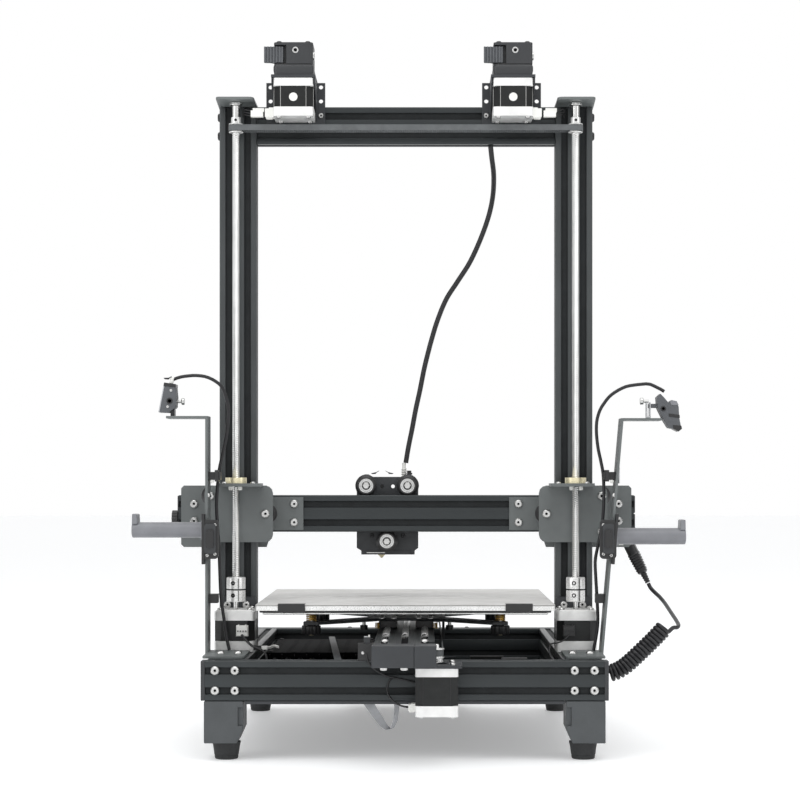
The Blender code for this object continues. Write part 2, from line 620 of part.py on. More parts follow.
def make_cords():
    """Loose cords, each through a few points of its hanging shape."""
    cord("sensor_cable_left", [
        (-244, 86, 382.2), (-242.8, 86.4, 385.2), (-234.5, 88, 388.4), (-225.8, 88, 389.6),
        (-218.5, 88, 390), (-208, 88, 388.6), (-198.7, 89, 384.3), (-191.5, 90, 378),
        (-187.6, 91, 368), (-184.9, 92, 353), (-187.2, 92, 328), (-191.4, 93, 307),
        (-195, 94, 290), (-197.6, 94, 260), (-196.8, 94, 234), (-195.2, 94, 213),
        (-194.2, 94, 185), (-193, 94, 159), (-189.6, 94, 134), (-186.6, 93, 114),
        (-184, 92, 103.3)], 3.5)
    cord("sensor_cable_right", [
        (269.6, 86, 373.2), (266, 86.8, 375.6), (262.3, 88, 377.5), (254, 88, 381.1),
        (244.6, 88, 380.7), (237, 88, 379.8), (230, 88, 378.4), (221.7, 88, 374.5),
        (213.3, 88, 368.6), (207.5, 88, 361.5), (202.9, 88, 354), (199.7, 88, 343.6),
        (199.1, 88, 331), (200.8, 88, 314.4), (203.9, 88, 299.8), (206.3, 88, 285),
        (206.8, 88, 260), (205, 88, 234), (200.8, 88, 213),
        (197.9, 88, 197), (198.4, 88, 180), (199.4, 88, 163), (200.6, 88, 135),
        (199, 88, 119), (196, 88, 103.3)], 3.5)
    cord("umbilical_upper", [
        (91, 158, 640.5), (92.4, 162, 629), (95, 176, 612), (94.8, 195, 593),
        (90.9, 208, 573), (82.5, 215, 549), (70.3, 220, 522.5), (56.5, 223, 501),
        (43.7, 225, 481), (33.5, 227, 456), (26, 229, 431)], 5.5)
    cord("umbilical_lower", [
        (25.9, 229, 430.5), (19.8, 230.6, 406), (14.8, 232, 381), (10, 233.2, 359),
        (5.9, 234, 337), (2, 234.8, 318), (-1, 235, 300)], 5.5)
    cord("coil_cord", [
        (206.9, 65, 82), (212.5, 65, 82.2), (220, 65, 85), (227.6, 65, 90),
        (234.5, 65, 96), (241.1, 65, 102.7), (247.3, 65, 109.3), (253.1, 65, 116),
        (259, 65, 123.8), (264.9, 65, 131.9)], 17, sides=4, spacing=0.45)
    cord("coil_cord_lead", [
        (265.4, 65, 132.6), (269.5, 66, 137.6), (274.4, 71, 141.5), (277.2, 82, 145),
        (277.4, 98, 149.2), (276, 118, 152.6), (274, 138, 154.6), (271.8, 158, 155.4),
        (270, 174, 156), (268.8, 184, 158), (267, 188.4, 162.4), (264.4, 189.8, 168.1)], 4.5)


def make_plug():
    """Moulded plug at the far end of the coiled cord, under the end of the cross beam."""
    low, high = Vector((264, 190, 169)), Vector((243, 195, 212))
    tilt = (high - low).to_track_quat("Z", "Y").to_matrix().to_4x4()
    rings = []
    for depth, wide, thick in ((0, 2.8, 2.8), (11, 3.8, 3.6), (13, 7.4, 5.4), (34, 9.4, 6.6),
                               (36, 8.2, 5.8), (47, 8.2, 5.8)):
        outline = rounded(-wide, wide, -thick, thick, min(wide, thick) * 0.6, 3)
        rings.append([(a, b, depth) for a, b in outline])
    plug = loft(rings)
    bmesh.ops.transform(plug, matrix=Matrix.Translation(low) @ tilt, verts=plug.verts)
    part("coil_cord_plug", plug, "moulded")


# ---------------------------------------------------------------- assembly

def build():
    for old in list(bpy.data.objects):
        bpy.data.objects.remove(old)
    machine = bpy.data.objects.new("machine", None)
    bpy.context.scene.collection.objects.link(machine)
    machine.location = (0, -MID_Y * MM, 0)
    make_base()
    make_tower()
    make_bed_rail()
    make_drives()
    make_electronics()
    for name, x in FEEDER_X.items():
        make_feeder(name, x)
        make_holder(name)
    make_bed()
    make_gantry()
    make_head()
    make_cords()
    make_plug()


build()
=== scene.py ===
"""Looks of the filament printer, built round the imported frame.

Pieces are drawn in the machine's own millimetres: X across, Z up, and Y from the motor end to
the operator's end, counted from the outer face of the near beam. Shape.make() turns them into
metres with the origin under the middle of the frame, where the CAD stands.
"""
import math

import bmesh
import bpy
from mathutils import Matrix, Vector

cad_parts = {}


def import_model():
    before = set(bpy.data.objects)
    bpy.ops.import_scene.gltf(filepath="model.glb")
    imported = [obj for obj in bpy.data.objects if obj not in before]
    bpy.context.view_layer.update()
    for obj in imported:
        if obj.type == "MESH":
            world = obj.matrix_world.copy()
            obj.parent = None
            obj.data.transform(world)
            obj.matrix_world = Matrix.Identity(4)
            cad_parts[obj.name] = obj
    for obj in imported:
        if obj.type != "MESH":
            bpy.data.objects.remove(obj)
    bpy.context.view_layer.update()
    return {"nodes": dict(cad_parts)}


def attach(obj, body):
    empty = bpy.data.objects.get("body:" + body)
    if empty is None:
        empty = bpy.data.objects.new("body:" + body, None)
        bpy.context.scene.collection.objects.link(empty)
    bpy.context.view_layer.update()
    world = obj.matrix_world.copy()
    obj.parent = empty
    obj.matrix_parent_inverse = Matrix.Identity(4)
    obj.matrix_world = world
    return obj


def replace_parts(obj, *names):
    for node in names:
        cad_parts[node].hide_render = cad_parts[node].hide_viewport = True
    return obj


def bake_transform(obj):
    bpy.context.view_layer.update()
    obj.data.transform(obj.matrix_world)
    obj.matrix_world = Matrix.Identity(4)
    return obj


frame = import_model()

NODES = frame["nodes"]
MM = 0.001
MID_Y = 215.0            # machine Y of the scene's origin
SIDES = {"left": -1, "right": 1}

RIGHT, LEFT = (1, 0, 0), (-1, 0, 0)
FAR, NEAR = (0, 1, 0), (0, -1, 0)
UP, DOWN = (0, 0, 1), (0, 0, -1)


def world(x, y, z):
    """A machine point in metres."""
    return Vector((x * MM, (y - MID_Y) * MM, z * MM))


# ---------------------------------------------------------------- materials

class Finish:
    """A Principled material with noise in its colour, roughness and bump."""

    def __init__(self, name, colour, roughness, metallic=0.0, coat=0.0, specular=0.5):
        self.material = bpy.data.materials.new(name)
        self.material.use_nodes = True
        self.tree = self.material.node_tree
        self.shader = self.tree.nodes["Principled BSDF"]
        self.shader.inputs["Base Color"].default_value = (*colour, 1)
        self.shader.inputs["Roughness"].default_value = roughness
        self.shader.inputs["Metallic"].default_value = metallic
        self.shader.inputs["Coat Weight"].default_value = coat
        self.shader.inputs["Specular IOR Level"].default_value = specular
        self.colour, self.roughness = colour, roughness
        self.bumped = None

    def node(self, kind, **inputs):
        made = self.tree.nodes.new("ShaderNode" + kind)
        for name, value in inputs.items():
            made.inputs[name].default_value = value
        return made

    def link(self, source, target):
        self.tree.links.new(source, target)

    def noise(self, size, detail=3.0, stretch=(1, 1, 1)):
        """Noise whose blobs are about size mm wide; stretch lengthens them along an axis."""
        place = self.node("TexCoord")
        mapping = self.node("Mapping")
        mapping.inputs["Scale"].default_value = [1 / (size * MM * s) for s in stretch]
        self.link(place.outputs["Object"], mapping.inputs["Vector"])
        noise = self.node("TexNoise", Scale=1.0, Detail=detail, Roughness=0.55)
        self.link(mapping.outputs["Vector"], noise.inputs["Vector"])
        return noise.outputs["Fac"]

    def between(self, factor, low, high, socket):
        """A socket that runs from low to high with the factor's middle range."""
        if isinstance(low, tuple):
            ramp = self.node("ValToRGB")
            ramp.color_ramp.elements[0].position = 0.3
            ramp.color_ramp.elements[1].position = 0.7
            ramp.color_ramp.elements[0].color = (*low, 1)
            ramp.color_ramp.elements[1].color = (*high, 1)
            self.link(factor, ramp.inputs["Fac"])
            self.link(ramp.outputs["Color"], self.shader.inputs[socket])
            return
        spread = self.node("MapRange")
        for name, value in (("From Min", 0.3), ("From Max", 0.7), ("To Min", low), ("To Max", high)):
            spread.inputs[name].default_value = value
        self.link(factor, spread.inputs["Value"])
        self.link(spread.outputs["Result"], self.shader.inputs[socket])

    def bump(self, factor, height, strength=1.0):
        """Relief of the given height in mm, on top of any relief before it."""
        bump = self.node("Bump", Strength=strength, Distance=height * MM)
        self.link(factor, bump.inputs["Height"])
        if self.bumped:
            self.link(self.bumped, bump.inputs["Normal"])
        self.bumped = bump.outputs["Normal"]
        self.link(self.bumped, self.shader.inputs["Normal"])

    def shades(self, factor, amount):
        """Colour that varies by a share of itself."""
        self.between(factor, tuple(c * (1 - amount) for c in self.colour),
                     tuple(c * (1 + amount) for c in self.colour), "Base Color")


def anodised(axis, colour):
    """Black anodised extrusion with fine drawing lines along the given axis."""
    stretch = [1, 1, 1]
    stretch[axis] = 120
    made = Finish("anodised_" + "xyz"[axis], colour, 0.36, 0.45)
    lines = made.noise(0.7, 2.0, stretch)
    made.shades(made.noise(60, 2.0), 0.10)
    made.between(lines, 0.30, 0.42, "Roughness")
    made.bump(lines, 0.02, 0.3)
    return made.material


def powder(name, colour, roughness=0.5):
    """Powder coat with an orange-peel skin."""
    made = Finish(name, colour, roughness)
    made.shades(made.noise(35, 3.0), 0.10)
    made.between(made.noise(6, 4.0), roughness - 0.06, roughness + 0.08, "Roughness")
    made.bump(made.noise(0.9, 2.0), 0.05, 0.5)
    return made.material


def plastic(name, colour, roughness=0.5, grain=0.5, coat=0.0):
    """Moulded plastic with a spark-eroded grain."""
    made = Finish(name, colour, roughness, coat=coat)
    made.shades(made.noise(22, 3.0), 0.08)
    made.between(made.noise(3.0, 4.0), roughness - 0.07, roughness + 0.07, "Roughness")
    made.bump(made.noise(grain, 1.0), 0.03, 0.5)
    return made.material


def metal(name, colour, roughness, stretch=(1, 1, 1), grain=0.5, metallic=1.0):
    """Bare metal with machining or brushing marks."""
    made = Finish(name, colour, roughness, metallic)
    marks = made.noise(grain, 3.0, stretch)
    made.shades(made.noise(12, 3.0), 0.07)
    made.between(marks, roughness - 0.08, roughness + 0.10, "Roughness")
    made.bump(marks, 0.006, 0.3)
    return made.material


def laminated(axis):
    """Stacked motor laminations under black varnish."""
    made = Finish("laminated_" + "xyz"[axis], (0.014, 0.015, 0.015), 0.34, 0.4)
    stretch = [60, 60, 60]
    stretch[axis] = 1
    layers = made.noise(0.5, 1.0, stretch)
    made.shades(made.noise(9, 3.0), 0.18)
    made.between(layers, 0.30, 0.48, "Roughness")
    made.bump(layers, 0.06, 0.6)
    return made.material


def rubber(name, colour, roughness=0.62, specular=0.4):
    made = Finish(name, colour, roughness, specular=specular)
    made.shades(made.noise(14, 3.0), 0.15)
    made.between(made.noise(2.0, 3.0), roughness - 0.08, roughness + 0.08, "Roughness")
    made.bump(made.noise(0.4, 2.0), 0.02, 0.4)
    return made.material


def coated_sheet():
    """Pale textured build surface with darker grains and light wear marks."""
    made = Finish("build_surface", (0.52, 0.515, 0.50), 0.42, 0.0)
    grains = made.noise(0.6, 4.0)
    made.shades(made.noise(55, 5.0), 0.07)
    made.between(made.noise(18, 4.0), 0.30, 0.48, "Roughness")
    made.bump(grains, 0.03, 0.5)
    return made.material


def crinkled_foil():
    made = Finish("foil", (0.78, 0.78, 0.77), 0.30, 0.9)
    made.shades(made.noise(10, 4.0), 0.12)
    made.between(made.noise(5, 4.0), 0.22, 0.42, "Roughness")
    made.bump(made.noise(6.0, 5.0, (1, 1.6, 1)), 0.8, 0.9)
    made.bump(made.noise(1.6, 3.0), 0.15, 0.6)
    return made.material


def glass_panel():
    made = Finish("display_glass", (0.012, 0.013, 0.016), 0.12, coat=0.6)
    made.shades(made.noise(30, 2.0), 0.15)
    made.between(made.noise(16, 5.0), 0.09, 0.17, "Roughness")
    return made.material


BEAM_X = anodised(0, (0.034, 0.039, 0.041))
BEAM_Y = anodised(1, (0.036, 0.041, 0.043))
# The uprights' copy is lighter than the cross beams': painted light where their sides catch the lamps.
BEAM_Z_LIT = anodised(2, (0.062, 0.068, 0.070))
# A lighter copy of the plate paint for the top, gantry and strip plates: painted light where they face the
# lamps.
PLATE_LIT = powder("plate_paint_lit", (0.128, 0.140, 0.140), 0.46)
PLATE_DARK = powder("plate_paint_dark", (0.030, 0.033, 0.037), 0.46)
MOULDED = plastic("moulded_black", (0.030, 0.032, 0.035), 0.46)
MOULDED_FOOT = plastic("moulded_foot", (0.060, 0.066, 0.070), 0.5)
MOULDED_GREY = plastic("moulded_grey", (0.085, 0.090, 0.098), 0.5)
HARD_BLACK = plastic("hard_black", (0.018, 0.018, 0.019), 0.34, 0.8)
NYLON = plastic("white_nylon", (0.80, 0.80, 0.77), 0.4, 0.7)
RUBBER = rubber("pad_rubber", (0.022, 0.023, 0.024))
BELT = rubber("belt_rubber", (0.105, 0.112, 0.116), 0.5)
JACKET = rubber("cable_jacket", (0.016, 0.016, 0.018), 0.38)
WIRE = rubber("wire_black", (0.02, 0.02, 0.021), 0.45)
RIBBON = rubber("ribbon_grey", (0.44, 0.45, 0.47), 0.45)
SILVER = metal("bright_screws", (0.60, 0.60, 0.59), 0.24)
STEEL = metal("ground_steel", (0.72, 0.72, 0.71), 0.18, (1, 1, 14))
ROD = metal("ground_rod", (0.85, 0.85, 0.84), 0.3, (1, 14, 1), metallic=0.6)
CAST = metal("cast_caps", (0.84, 0.84, 0.83), 0.42, grain=0.9, metallic=0.35)
# Bright strips along motor core edges: painted highlight.
CORE_EDGE_HIGHLIGHT = metal("painted_core_edge_highlight", (0.45, 0.45, 0.44), 0.35)
ALUMINIUM = metal("turned_aluminium", (0.82, 0.82, 0.81), 0.30, (3, 3, 1), metallic=0.55)
ZINC = metal("zinc_sheet", (0.55, 0.56, 0.57), 0.38, (1, 6, 1), 2.0)
BRASS = metal("brass", (0.88, 0.80, 0.55), 0.30, metallic=0.7)
DARK_STEEL = metal("black_screws", (0.05, 0.05, 0.052), 0.34)
SPRING = metal("gilt_spring", (0.70, 0.46, 0.13), 0.30)
CORE_Z, CORE_Y = laminated(2), laminated(1)
SHEET = coated_sheet()
FOIL = crinkled_foil()
SCREEN = glass_panel()
ARM_GREY = plastic("arm_grey", (0.20, 0.205, 0.222), 0.34, 0.7)
# Near-black strips deep in the beams' slots: painted shade.
SLOT_SHADE = rubber("painted_slot_shade", (0.016, 0.018, 0.019), 0.7, 0.25)
# Near-black painted shade for sockets, holes, grooves and slots, and for the power supply's dark case deep
# in the base's shade.
PAINTED_SHADE_BLACK = rubber("shadow_black", (0.006, 0.006, 0.007), 0.8, 0.08)


# ---------------------------------------------------------------- outlines

def arc(x, y, radius, start, end, count):
    """Evenly spaced points of an arc, its angles in degrees."""
    angles = [math.radians(start + (end - start) * i / (count - 1)) for i in range(count)]
    return [(x + radius * math.cos(a), y + radius * math.sin(a)) for a in angles]


def circle(x, y, radius, count=20):
    return arc(x, y, radius, 0, 360 - 360 / count, count)


def rectangle(x0, x1, y0, y1):
    return [(x0, y0), (x1, y0), (x1, y1), (x0, y1)]


def rounded(x0, x1, y0, y1, radius, count=5):
    """Rectangle with rounded corners."""
    corners = ((x1, y0, -90, -1, 1), (x1, y1, 0, -1, -1), (x0, y1, 90, 1, -1), (x0, y0, 180, 1, 1))
    points = []
    for x, y, start, sx, sy in corners:
        points += arc(x + sx * radius, y + sy * radius, radius, start, start + 90, count)
    return points


def hexagon(radius, count=24):
    """Points round a hexagon whose flats are radius away from its middle."""
    points = []
    for i in range(count):
        angle = 2 * math.pi * i / count
        off = (angle + math.pi / 6) % (math.pi / 3) - math.pi / 6
        points.append((radius / math.cos(off) * math.cos(angle),
                       radius / math.cos(off) * math.sin(angle)))
    return points


def fluted(radius, depth, flutes, count=96):
    """Points round a knob with waves along its rim."""
    points = []
    for i in range(count):
        angle = 2 * math.pi * i / count
        reach = radius + depth * math.cos(flutes * angle)
        points.append((reach * math.cos(angle), reach * math.sin(angle)))
    return points


def mirrored(points, side):
    return [(side * x, y) for x, y in points]


def smooth_route(points, spacing):
    """Evenly spaced points on a smooth curve through the given ones."""
    knots = [Vector(p) for p in points]
    knots = [2 * knots[0] - knots[1]] + knots + [2 * knots[-1] - knots[-2]]
    fine = []
    for a, b, c, d in zip(knots, knots[1:], knots[2:], knots[3:]):
        for i in range(24):
            t = i / 24
            fine.append(0.5 * (2 * b + (c - a) * t + (2 * a - 5 * b + 4 * c - d) * t * t
                               + (3 * b - a - 3 * c + d) * t ** 3))
    fine.append(knots[-2])
    lengths = [(q - p).length for p, q in zip(fine, fine[1:])]
    count = max(3, round(sum(lengths) / spacing))
    step = sum(lengths) / count
    route, walked = [fine[0]], 0.0
    for start, end, length in zip(fine, fine[1:], lengths):
        while length and walked + length >= step * len(route) and len(route) < count:
            share = (step * len(route) - walked) / length
            route.append(start.lerp(end, share))
        walked += length
    return route + [fine[-1]]


# ---------------------------------------------------------------- mesh building

def place(plane, a, b, depth):
    """A point of a drawing plane, with its depth along the plane's normal."""
    return {"XY": (a, b, depth), "XZ": (a, depth, b), "YZ": (depth, a, b)}[plane]


class Shape:
    """One piece's mesh under construction, in machine millimetres."""

    def __init__(self):
        self.body = bmesh.new()
        self.finishes = []

    def paint(self, faces, finish):
        if finish not in self.finishes:
            self.finishes.append(finish)
        for face in faces:
            face.material_index = self.finishes.index(finish)

    def skin(self, rings, finish, closed=False, capped=True):
        """Faces over rings of points, with flat ends unless the last ring meets the first."""
        loops = [[self.body.verts.new(point) for point in ring] for ring in rings]
        pairs = list(zip(loops, loops[1:]))
        if closed:
            pairs.append((loops[-1], loops[0]))
        faces = []
        for lower, upper in pairs:
            for i in range(len(lower)):
                j = (i + 1) % len(lower)
                faces.append(self.body.faces.new((lower[i], lower[j], upper[j], upper[i])))
        if capped and not closed:
            faces += [self.body.faces.new(loops[0]), self.body.faces.new(loops[-1])]
        self.paint(faces, finish)
        return faces

    def prism(self, plane, outline, low, high, finish):
        rings = [[place(plane, a, b, depth) for a, b in outline] for depth in (low, high)]
        return self.skin(rings, finish)

    def block(self, x0, x1, y0, y1, z0, z1, finish):
        return self.prism("XY", rectangle(x0, x1, y0, y1), z0, z1, finish)

    def plate(self, plane, outline, holes, low, high, finish):
        """A plate with holes right through it."""
        edges = []
        for loop in [outline] + holes:
            verts = [self.body.verts.new((a, b, 0)) for a, b in loop]
            edges += [self.body.edges.new((verts[i - 1], verts[i])) for i in range(len(verts))]
        filled = bmesh.ops.triangle_fill(self.body, edges=edges, use_beauty=True, normal=UP)
        flat = [g for g in filled["geom"] if isinstance(g, bmesh.types.BMFace)]
        old = {v for face in flat for v in face.verts}
        grown = bmesh.ops.extrude_face_region(self.body, geom=flat)["geom"]
        raised = {v for v in grown if isinstance(v, bmesh.types.BMVert)}
        for vert in old:
            vert.co = place(plane, vert.co.x, vert.co.y, low)
        for vert in raised:
            vert.co = place(plane, vert.co.x, vert.co.y, high)
        self.paint({face for v in old | raised for face in v.link_faces}, finish)

    def rings(self, start, direction, rings, finish, closed=False, turn=0.0):
        """Skin over rings, each a list of (a, b) points with its depth along the direction."""
        towards = Vector(direction).to_track_quat("Z", "Y").to_matrix().to_4x4()
        frame_at = Matrix.Translation(Vector(start)) @ towards @ Matrix.Rotation(turn, 4, "Z")
        return self.skin([[frame_at @ Vector((a, b, depth)) for a, b in ring]
                          for ring, depth in rings], finish, closed)

    def turned(self, start, direction, profile, finish, closed=False, count=24):
        """A profile of (radius, depth) points turned about the line from start."""
        rings = [(circle(0, 0, radius, count), depth) for radius, depth in profile]
        return self.rings(start, direction, rings, finish, closed)

    def tube(self, points, radius, finish, sides=8, capped=True):
        """A round tube along points, its rings kept from twisting."""
        points = [Vector(p) for p in points]
        rings, across = [], None
        for i, point in enumerate(points):
            before, after = points[max(i - 1, 0)], points[min(i + 1, len(points) - 1)]
            along = (after - before).normalized()
            if across is None:
                across = along.orthogonal().normalized()
            across = (across - along * across.dot(along)).normalized()
            other = along.cross(across)
            rings.append([point + radius * (across * a + other * b)
                          for a, b in circle(0, 0, 1, sides)])
        self.skin(rings, finish, capped=capped)

    def bolt(self, point, direction, radius=4.6, height=2.6, finish=None, socket=2.0, washer=0.0):
        """A button-head screw with a hexagon socket, on a washer if it has one."""
        finish = finish or SILVER
        lift = 0.0
        if washer:
            self.turned(point, direction, [(washer, -0.2), (washer, 0.5), (washer - 0.3, 0.8),
                                           (radius * 0.7, 0.8)], finish)
            lift = 0.7
        rings = [(circle(0, 0, radius, 24), lift - 0.3), (circle(0, 0, radius, 24), lift + height * 0.3),
                 (circle(0, 0, radius * 0.9, 24), lift + height * 0.72),
                 (circle(0, 0, radius * 0.7, 24), lift + height),
                 (hexagon(socket), lift + height), (hexagon(socket), lift + height * 0.25),
                 (circle(0, 0, socket * 0.2, 24), lift + height * 0.15)]
        self.rings(point, direction, rings, finish, turn=0.3)
        # The socket's floor is a dark hexagon: painted shade.
        inside = hexagon(socket * 0.55)
        self.rings(point, direction, [(inside, lift + height * 0.2), (inside, lift + height * 0.45)], PAINTED_SHADE_BLACK,
                   turn=0.3)

    def hex_head(self, point, direction, radius, height, finish, rim=0.0):
        """A hexagon bolt head or nut, with a flange if rim is given."""
        if rim:
            self.turned(point, direction, [(rim, -0.2), (rim, 0.6), (rim - 0.5, 1.0),
                                           (radius * 0.8, 1.0)], finish)
        rings = [(hexagon(radius), 0.0), (hexagon(radius), height * 0.85),
                 (circle(0, 0, radius * 0.92, 24), height), (circle(0, 0, radius * 0.4, 24), height),
                 (circle(0, 0, radius * 0.35, 24), height * 0.8)]
        self.rings(point, direction, rings, finish, turn=0.2)

    def make(self, name, body, bevel=0.25, angle=35, segments=2):
        """The finished object, riding on a body, its sharp edges rounded by bevel mm."""
        bmesh.ops.recalc_face_normals(self.body, faces=self.body.faces[:])
        for vert in self.body.verts:
            vert.co = world(*vert.co)
        mesh = bpy.data.meshes.new(name)
        self.body.to_mesh(mesh)
        self.body.free()
        mesh.shade_smooth()
        for finish in self.finishes:
            mesh.materials.append(finish)
        made = bpy.data.objects.new(name, mesh)
        bpy.context.scene.collection.objects.link(made)
        if bevel:
            soften(made, bevel, angle, segments)
        else:
            mesh.set_sharp_from_angle(angle=math.radians(angle))
        if body:
            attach(made, body)
        return made


def soften(target, bevel, angle=35, segments=2):
    """Round edges by a modifier."""
    modifier = target.modifiers.new("edges", "BEVEL")
    modifier.width = bevel * MM
    modifier.segments = segments
    modifier.limit_method = "ANGLE"
    modifier.angle_limit = math.radians(angle)
    modifier.harden_normals = True
    modifier.use_clamp_overlap = True


def dress(node, finish, bevel=0.25):
    """A CAD node with its better material and rounded edges."""
    target = NODES[node]
    target.data.materials.clear()
    target.data.materials.append(finish)
    if bevel:
        weld = target.modifiers.new("weld", "WELD")
        weld.merge_threshold = 0.000002
        soften(target, bevel)


# ---------------------------------------------------------------- cords

def cord_curve(name, points, diameter, finish):
    """A round cord as one open spline, straight on the CAD's route."""
    curve = bpy.data.curves.new(name, "CURVE")
    curve.dimensions = "3D"
    curve.bevel_depth = diameter / 2 * MM
    curve.bevel_resolution = 4
    curve.resolution_u = 1
    curve.render_resolution_u = 0
    curve.use_fill_caps = True
    route = smooth_route(points, max(1.2 * diameter, 1.5))
    spline = curve.splines.new("POLY")
    spline.points.add(len(route) - 1)
    for target, point in zip(spline.points, route):
        target.co = (*world(*point), 1.0)
    spline.use_smooth = True
    curve.materials.append(finish)
    made = bpy.data.objects.new(name, curve)
    bpy.context.scene.collection.objects.link(made)
    return made, route


def fixed_cord(name, points, diameter, finish=None, body="frame", node=None):
    """A cord between two places on one body."""
    made, route = cord_curve(name, points, diameter, finish or WIRE)
    if node:
        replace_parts(made, node)
    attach(made, body)


SENSOR_LEFT = [
    (-244, 86, 382.2), (-242.8, 86.4, 385.2), (-234.5, 88, 388.4), (-225.8, 88, 389.6),
    (-218.5, 88, 390), (-208, 88, 388.6), (-198.7, 89, 384.3), (-191.5, 90, 378),
    (-187.6, 91, 368), (-184.9, 92, 353), (-187.2, 92, 328), (-191.4, 93, 307),
    (-195, 94, 290), (-197.6, 94, 260), (-196.8, 94, 234), (-195.2, 94, 213),
    (-194.2, 94, 185), (-193, 94, 159), (-189.6, 94, 134), (-186.6, 93, 114),
    (-184, 92, 103.3)]
SENSOR_RIGHT = [
    (269.6, 86, 373.2), (266, 86.8, 375.6), (262.3, 88, 377.5), (254, 88, 381.1),
    (244.6, 88, 380.7), (237, 88, 379.8), (230, 88, 378.4), (221.7, 88, 374.5),
    (213.3, 88, 368.6), (207.5, 88, 361.5), (202.9, 88, 354), (199.7, 88, 343.6),
    (199.1, 88, 331), (200.8, 88, 314.4), (203.9, 88, 299.8), (206.3, 88, 285),
    (206.8, 88, 260), (205, 88, 234), (200.8, 88, 213),
    (197.9, 88, 197), (198.4, 88, 180), (199.4, 88, 163), (200.6, 88, 135),
    (199, 88, 119), (196, 88, 103.3)]
UMBILICAL_UPPER = [
    (91, 158, 640.5), (92.4, 162, 629), (95, 176, 612), (94.8, 195, 593),
    (90.9, 208, 573), (82.5, 215, 549), (70.3, 220, 522.5), (56.5, 223, 501),
    (43.7, 225, 481), (33.5, 227, 456), (26, 229, 431)]
UMBILICAL_LOWER = [
    (26, 229, 431), (19.8, 230.6, 406), (14.8, 232, 381), (10, 233.2, 359),
    (5.9, 234, 337), (2, 234.8, 318), (-1, 235, 300)]
COIL = [
    (206.9, 65, 82), (212.5, 65, 82.2), (220, 65, 85), (227.6, 65, 90),
    (234.5, 65, 96), (241.4, 65, 102.5), (248.2, 65, 109), (255, 65, 115.6),
    (262, 65, 123), (269, 65, 130.4)]
LEAD = [
    (269, 65, 130.4), (276.4, 66.5, 128.4), (281.2, 71, 128.6), (283.6, 80, 130.6),
    (283.2, 97, 134.4), (281.9, 116, 138.6), (279.9, 141, 144.6), (277.9, 158, 149.4),
    (274.6, 172, 154.4), (270.6, 182, 158.6), (266.6, 188, 163.3), (264.4, 189.8, 168.1)]
SWITCH_WIRE = [
    (-38.4, 1, 107), (-37, -3, 101), (-33.5, -4.5, 95.5), (-26.7, -5.2, 90), (-17.7, -5.2, 85.6),
    (-8.7, -4.6, 83.4), (2, -3, 81), (14, -1.4, 78)]
BED_MOTOR_WIRE = [
    (-10, -2.4, 84), (-15, -4, 81), (-17.4, -5, 71.5), (-13.7, -9, 63.4), (-5.4, -17, 58),
    (1.6, -22, 56.6)]
LIFT_WIRE_LEFT = [
    (-171.4, 95, 119), (-166, 91, 113), (-159.4, 86, 108), (-152, 81, 105.4), (-146, 79, 101.6),
    (-144, 78, 95)]
LIFT_WIRE_RIGHT = [
    (171.4, 95, 119), (166, 92, 114), (158, 88, 111), (151, 84, 110), (149.5, 78, 102), (153, 72, 94)]
PLUG = (Vector((264, 190, 169)), Vector((243, 195, 212)))
COIL_TURNS = 18
COIL_STEPS = 20          # points to a turn
COIL_EASE = 0.6          # turns over which the coil opens at either end
COIL_R = 7.2             # from the coil's middle to its wire's middle
COIL_WIRE = 4.3
HEAD_CABLE = 5.5
SENSOR_CABLE = 3.5


def blended_cord(name, route, diameter, bodies, ends, nodes, sides=12, **facts):
    """A cord that crosses one joint: a mesh tube in place of its CAD nodes, on no body."""
    shape = Shape()
    shape.tube(route, diameter / 2, JACKET, sides)
    made = shape.make(name, None, bevel=0)
    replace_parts(made, *nodes)
    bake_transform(made)


def helix_route():
    """The curly cord: out of the gland, round its coil, and along the straight lead."""
    middle = smooth_route(COIL, 0.2)
    steps = COIL_TURNS * COIL_STEPS
    points, across, turn = [], Vector(FAR), 0.0
    for i in range(steps + 1):
        share = i / steps
        at = (0.04 + 0.94 * share) * (len(middle) - 1)
        index = min(int(at), len(middle) - 2)
        here = middle[index].lerp(middle[index + 1], at - index)
        along = (middle[index + 1] - middle[index]).normalized()
        other = along.cross(across).normalized()
        opening = min(1.0, min(share, 1 - share) * COIL_TURNS / COIL_EASE)
        swell = COIL_R * (0.5 + 0.5 * math.sin(opening * math.pi / 2))
        angle = 2 * math.pi * turn
        points.append(here + swell * (across * math.cos(angle) + other * math.sin(angle)))
        turn += COIL_TURNS / steps
    exit_at = Vector(COIL[0])
    return smooth_route([exit_at, exit_at + Vector((2.4, 1, 1))] + points[5:-6:2] + LEAD[1:], 1.9)


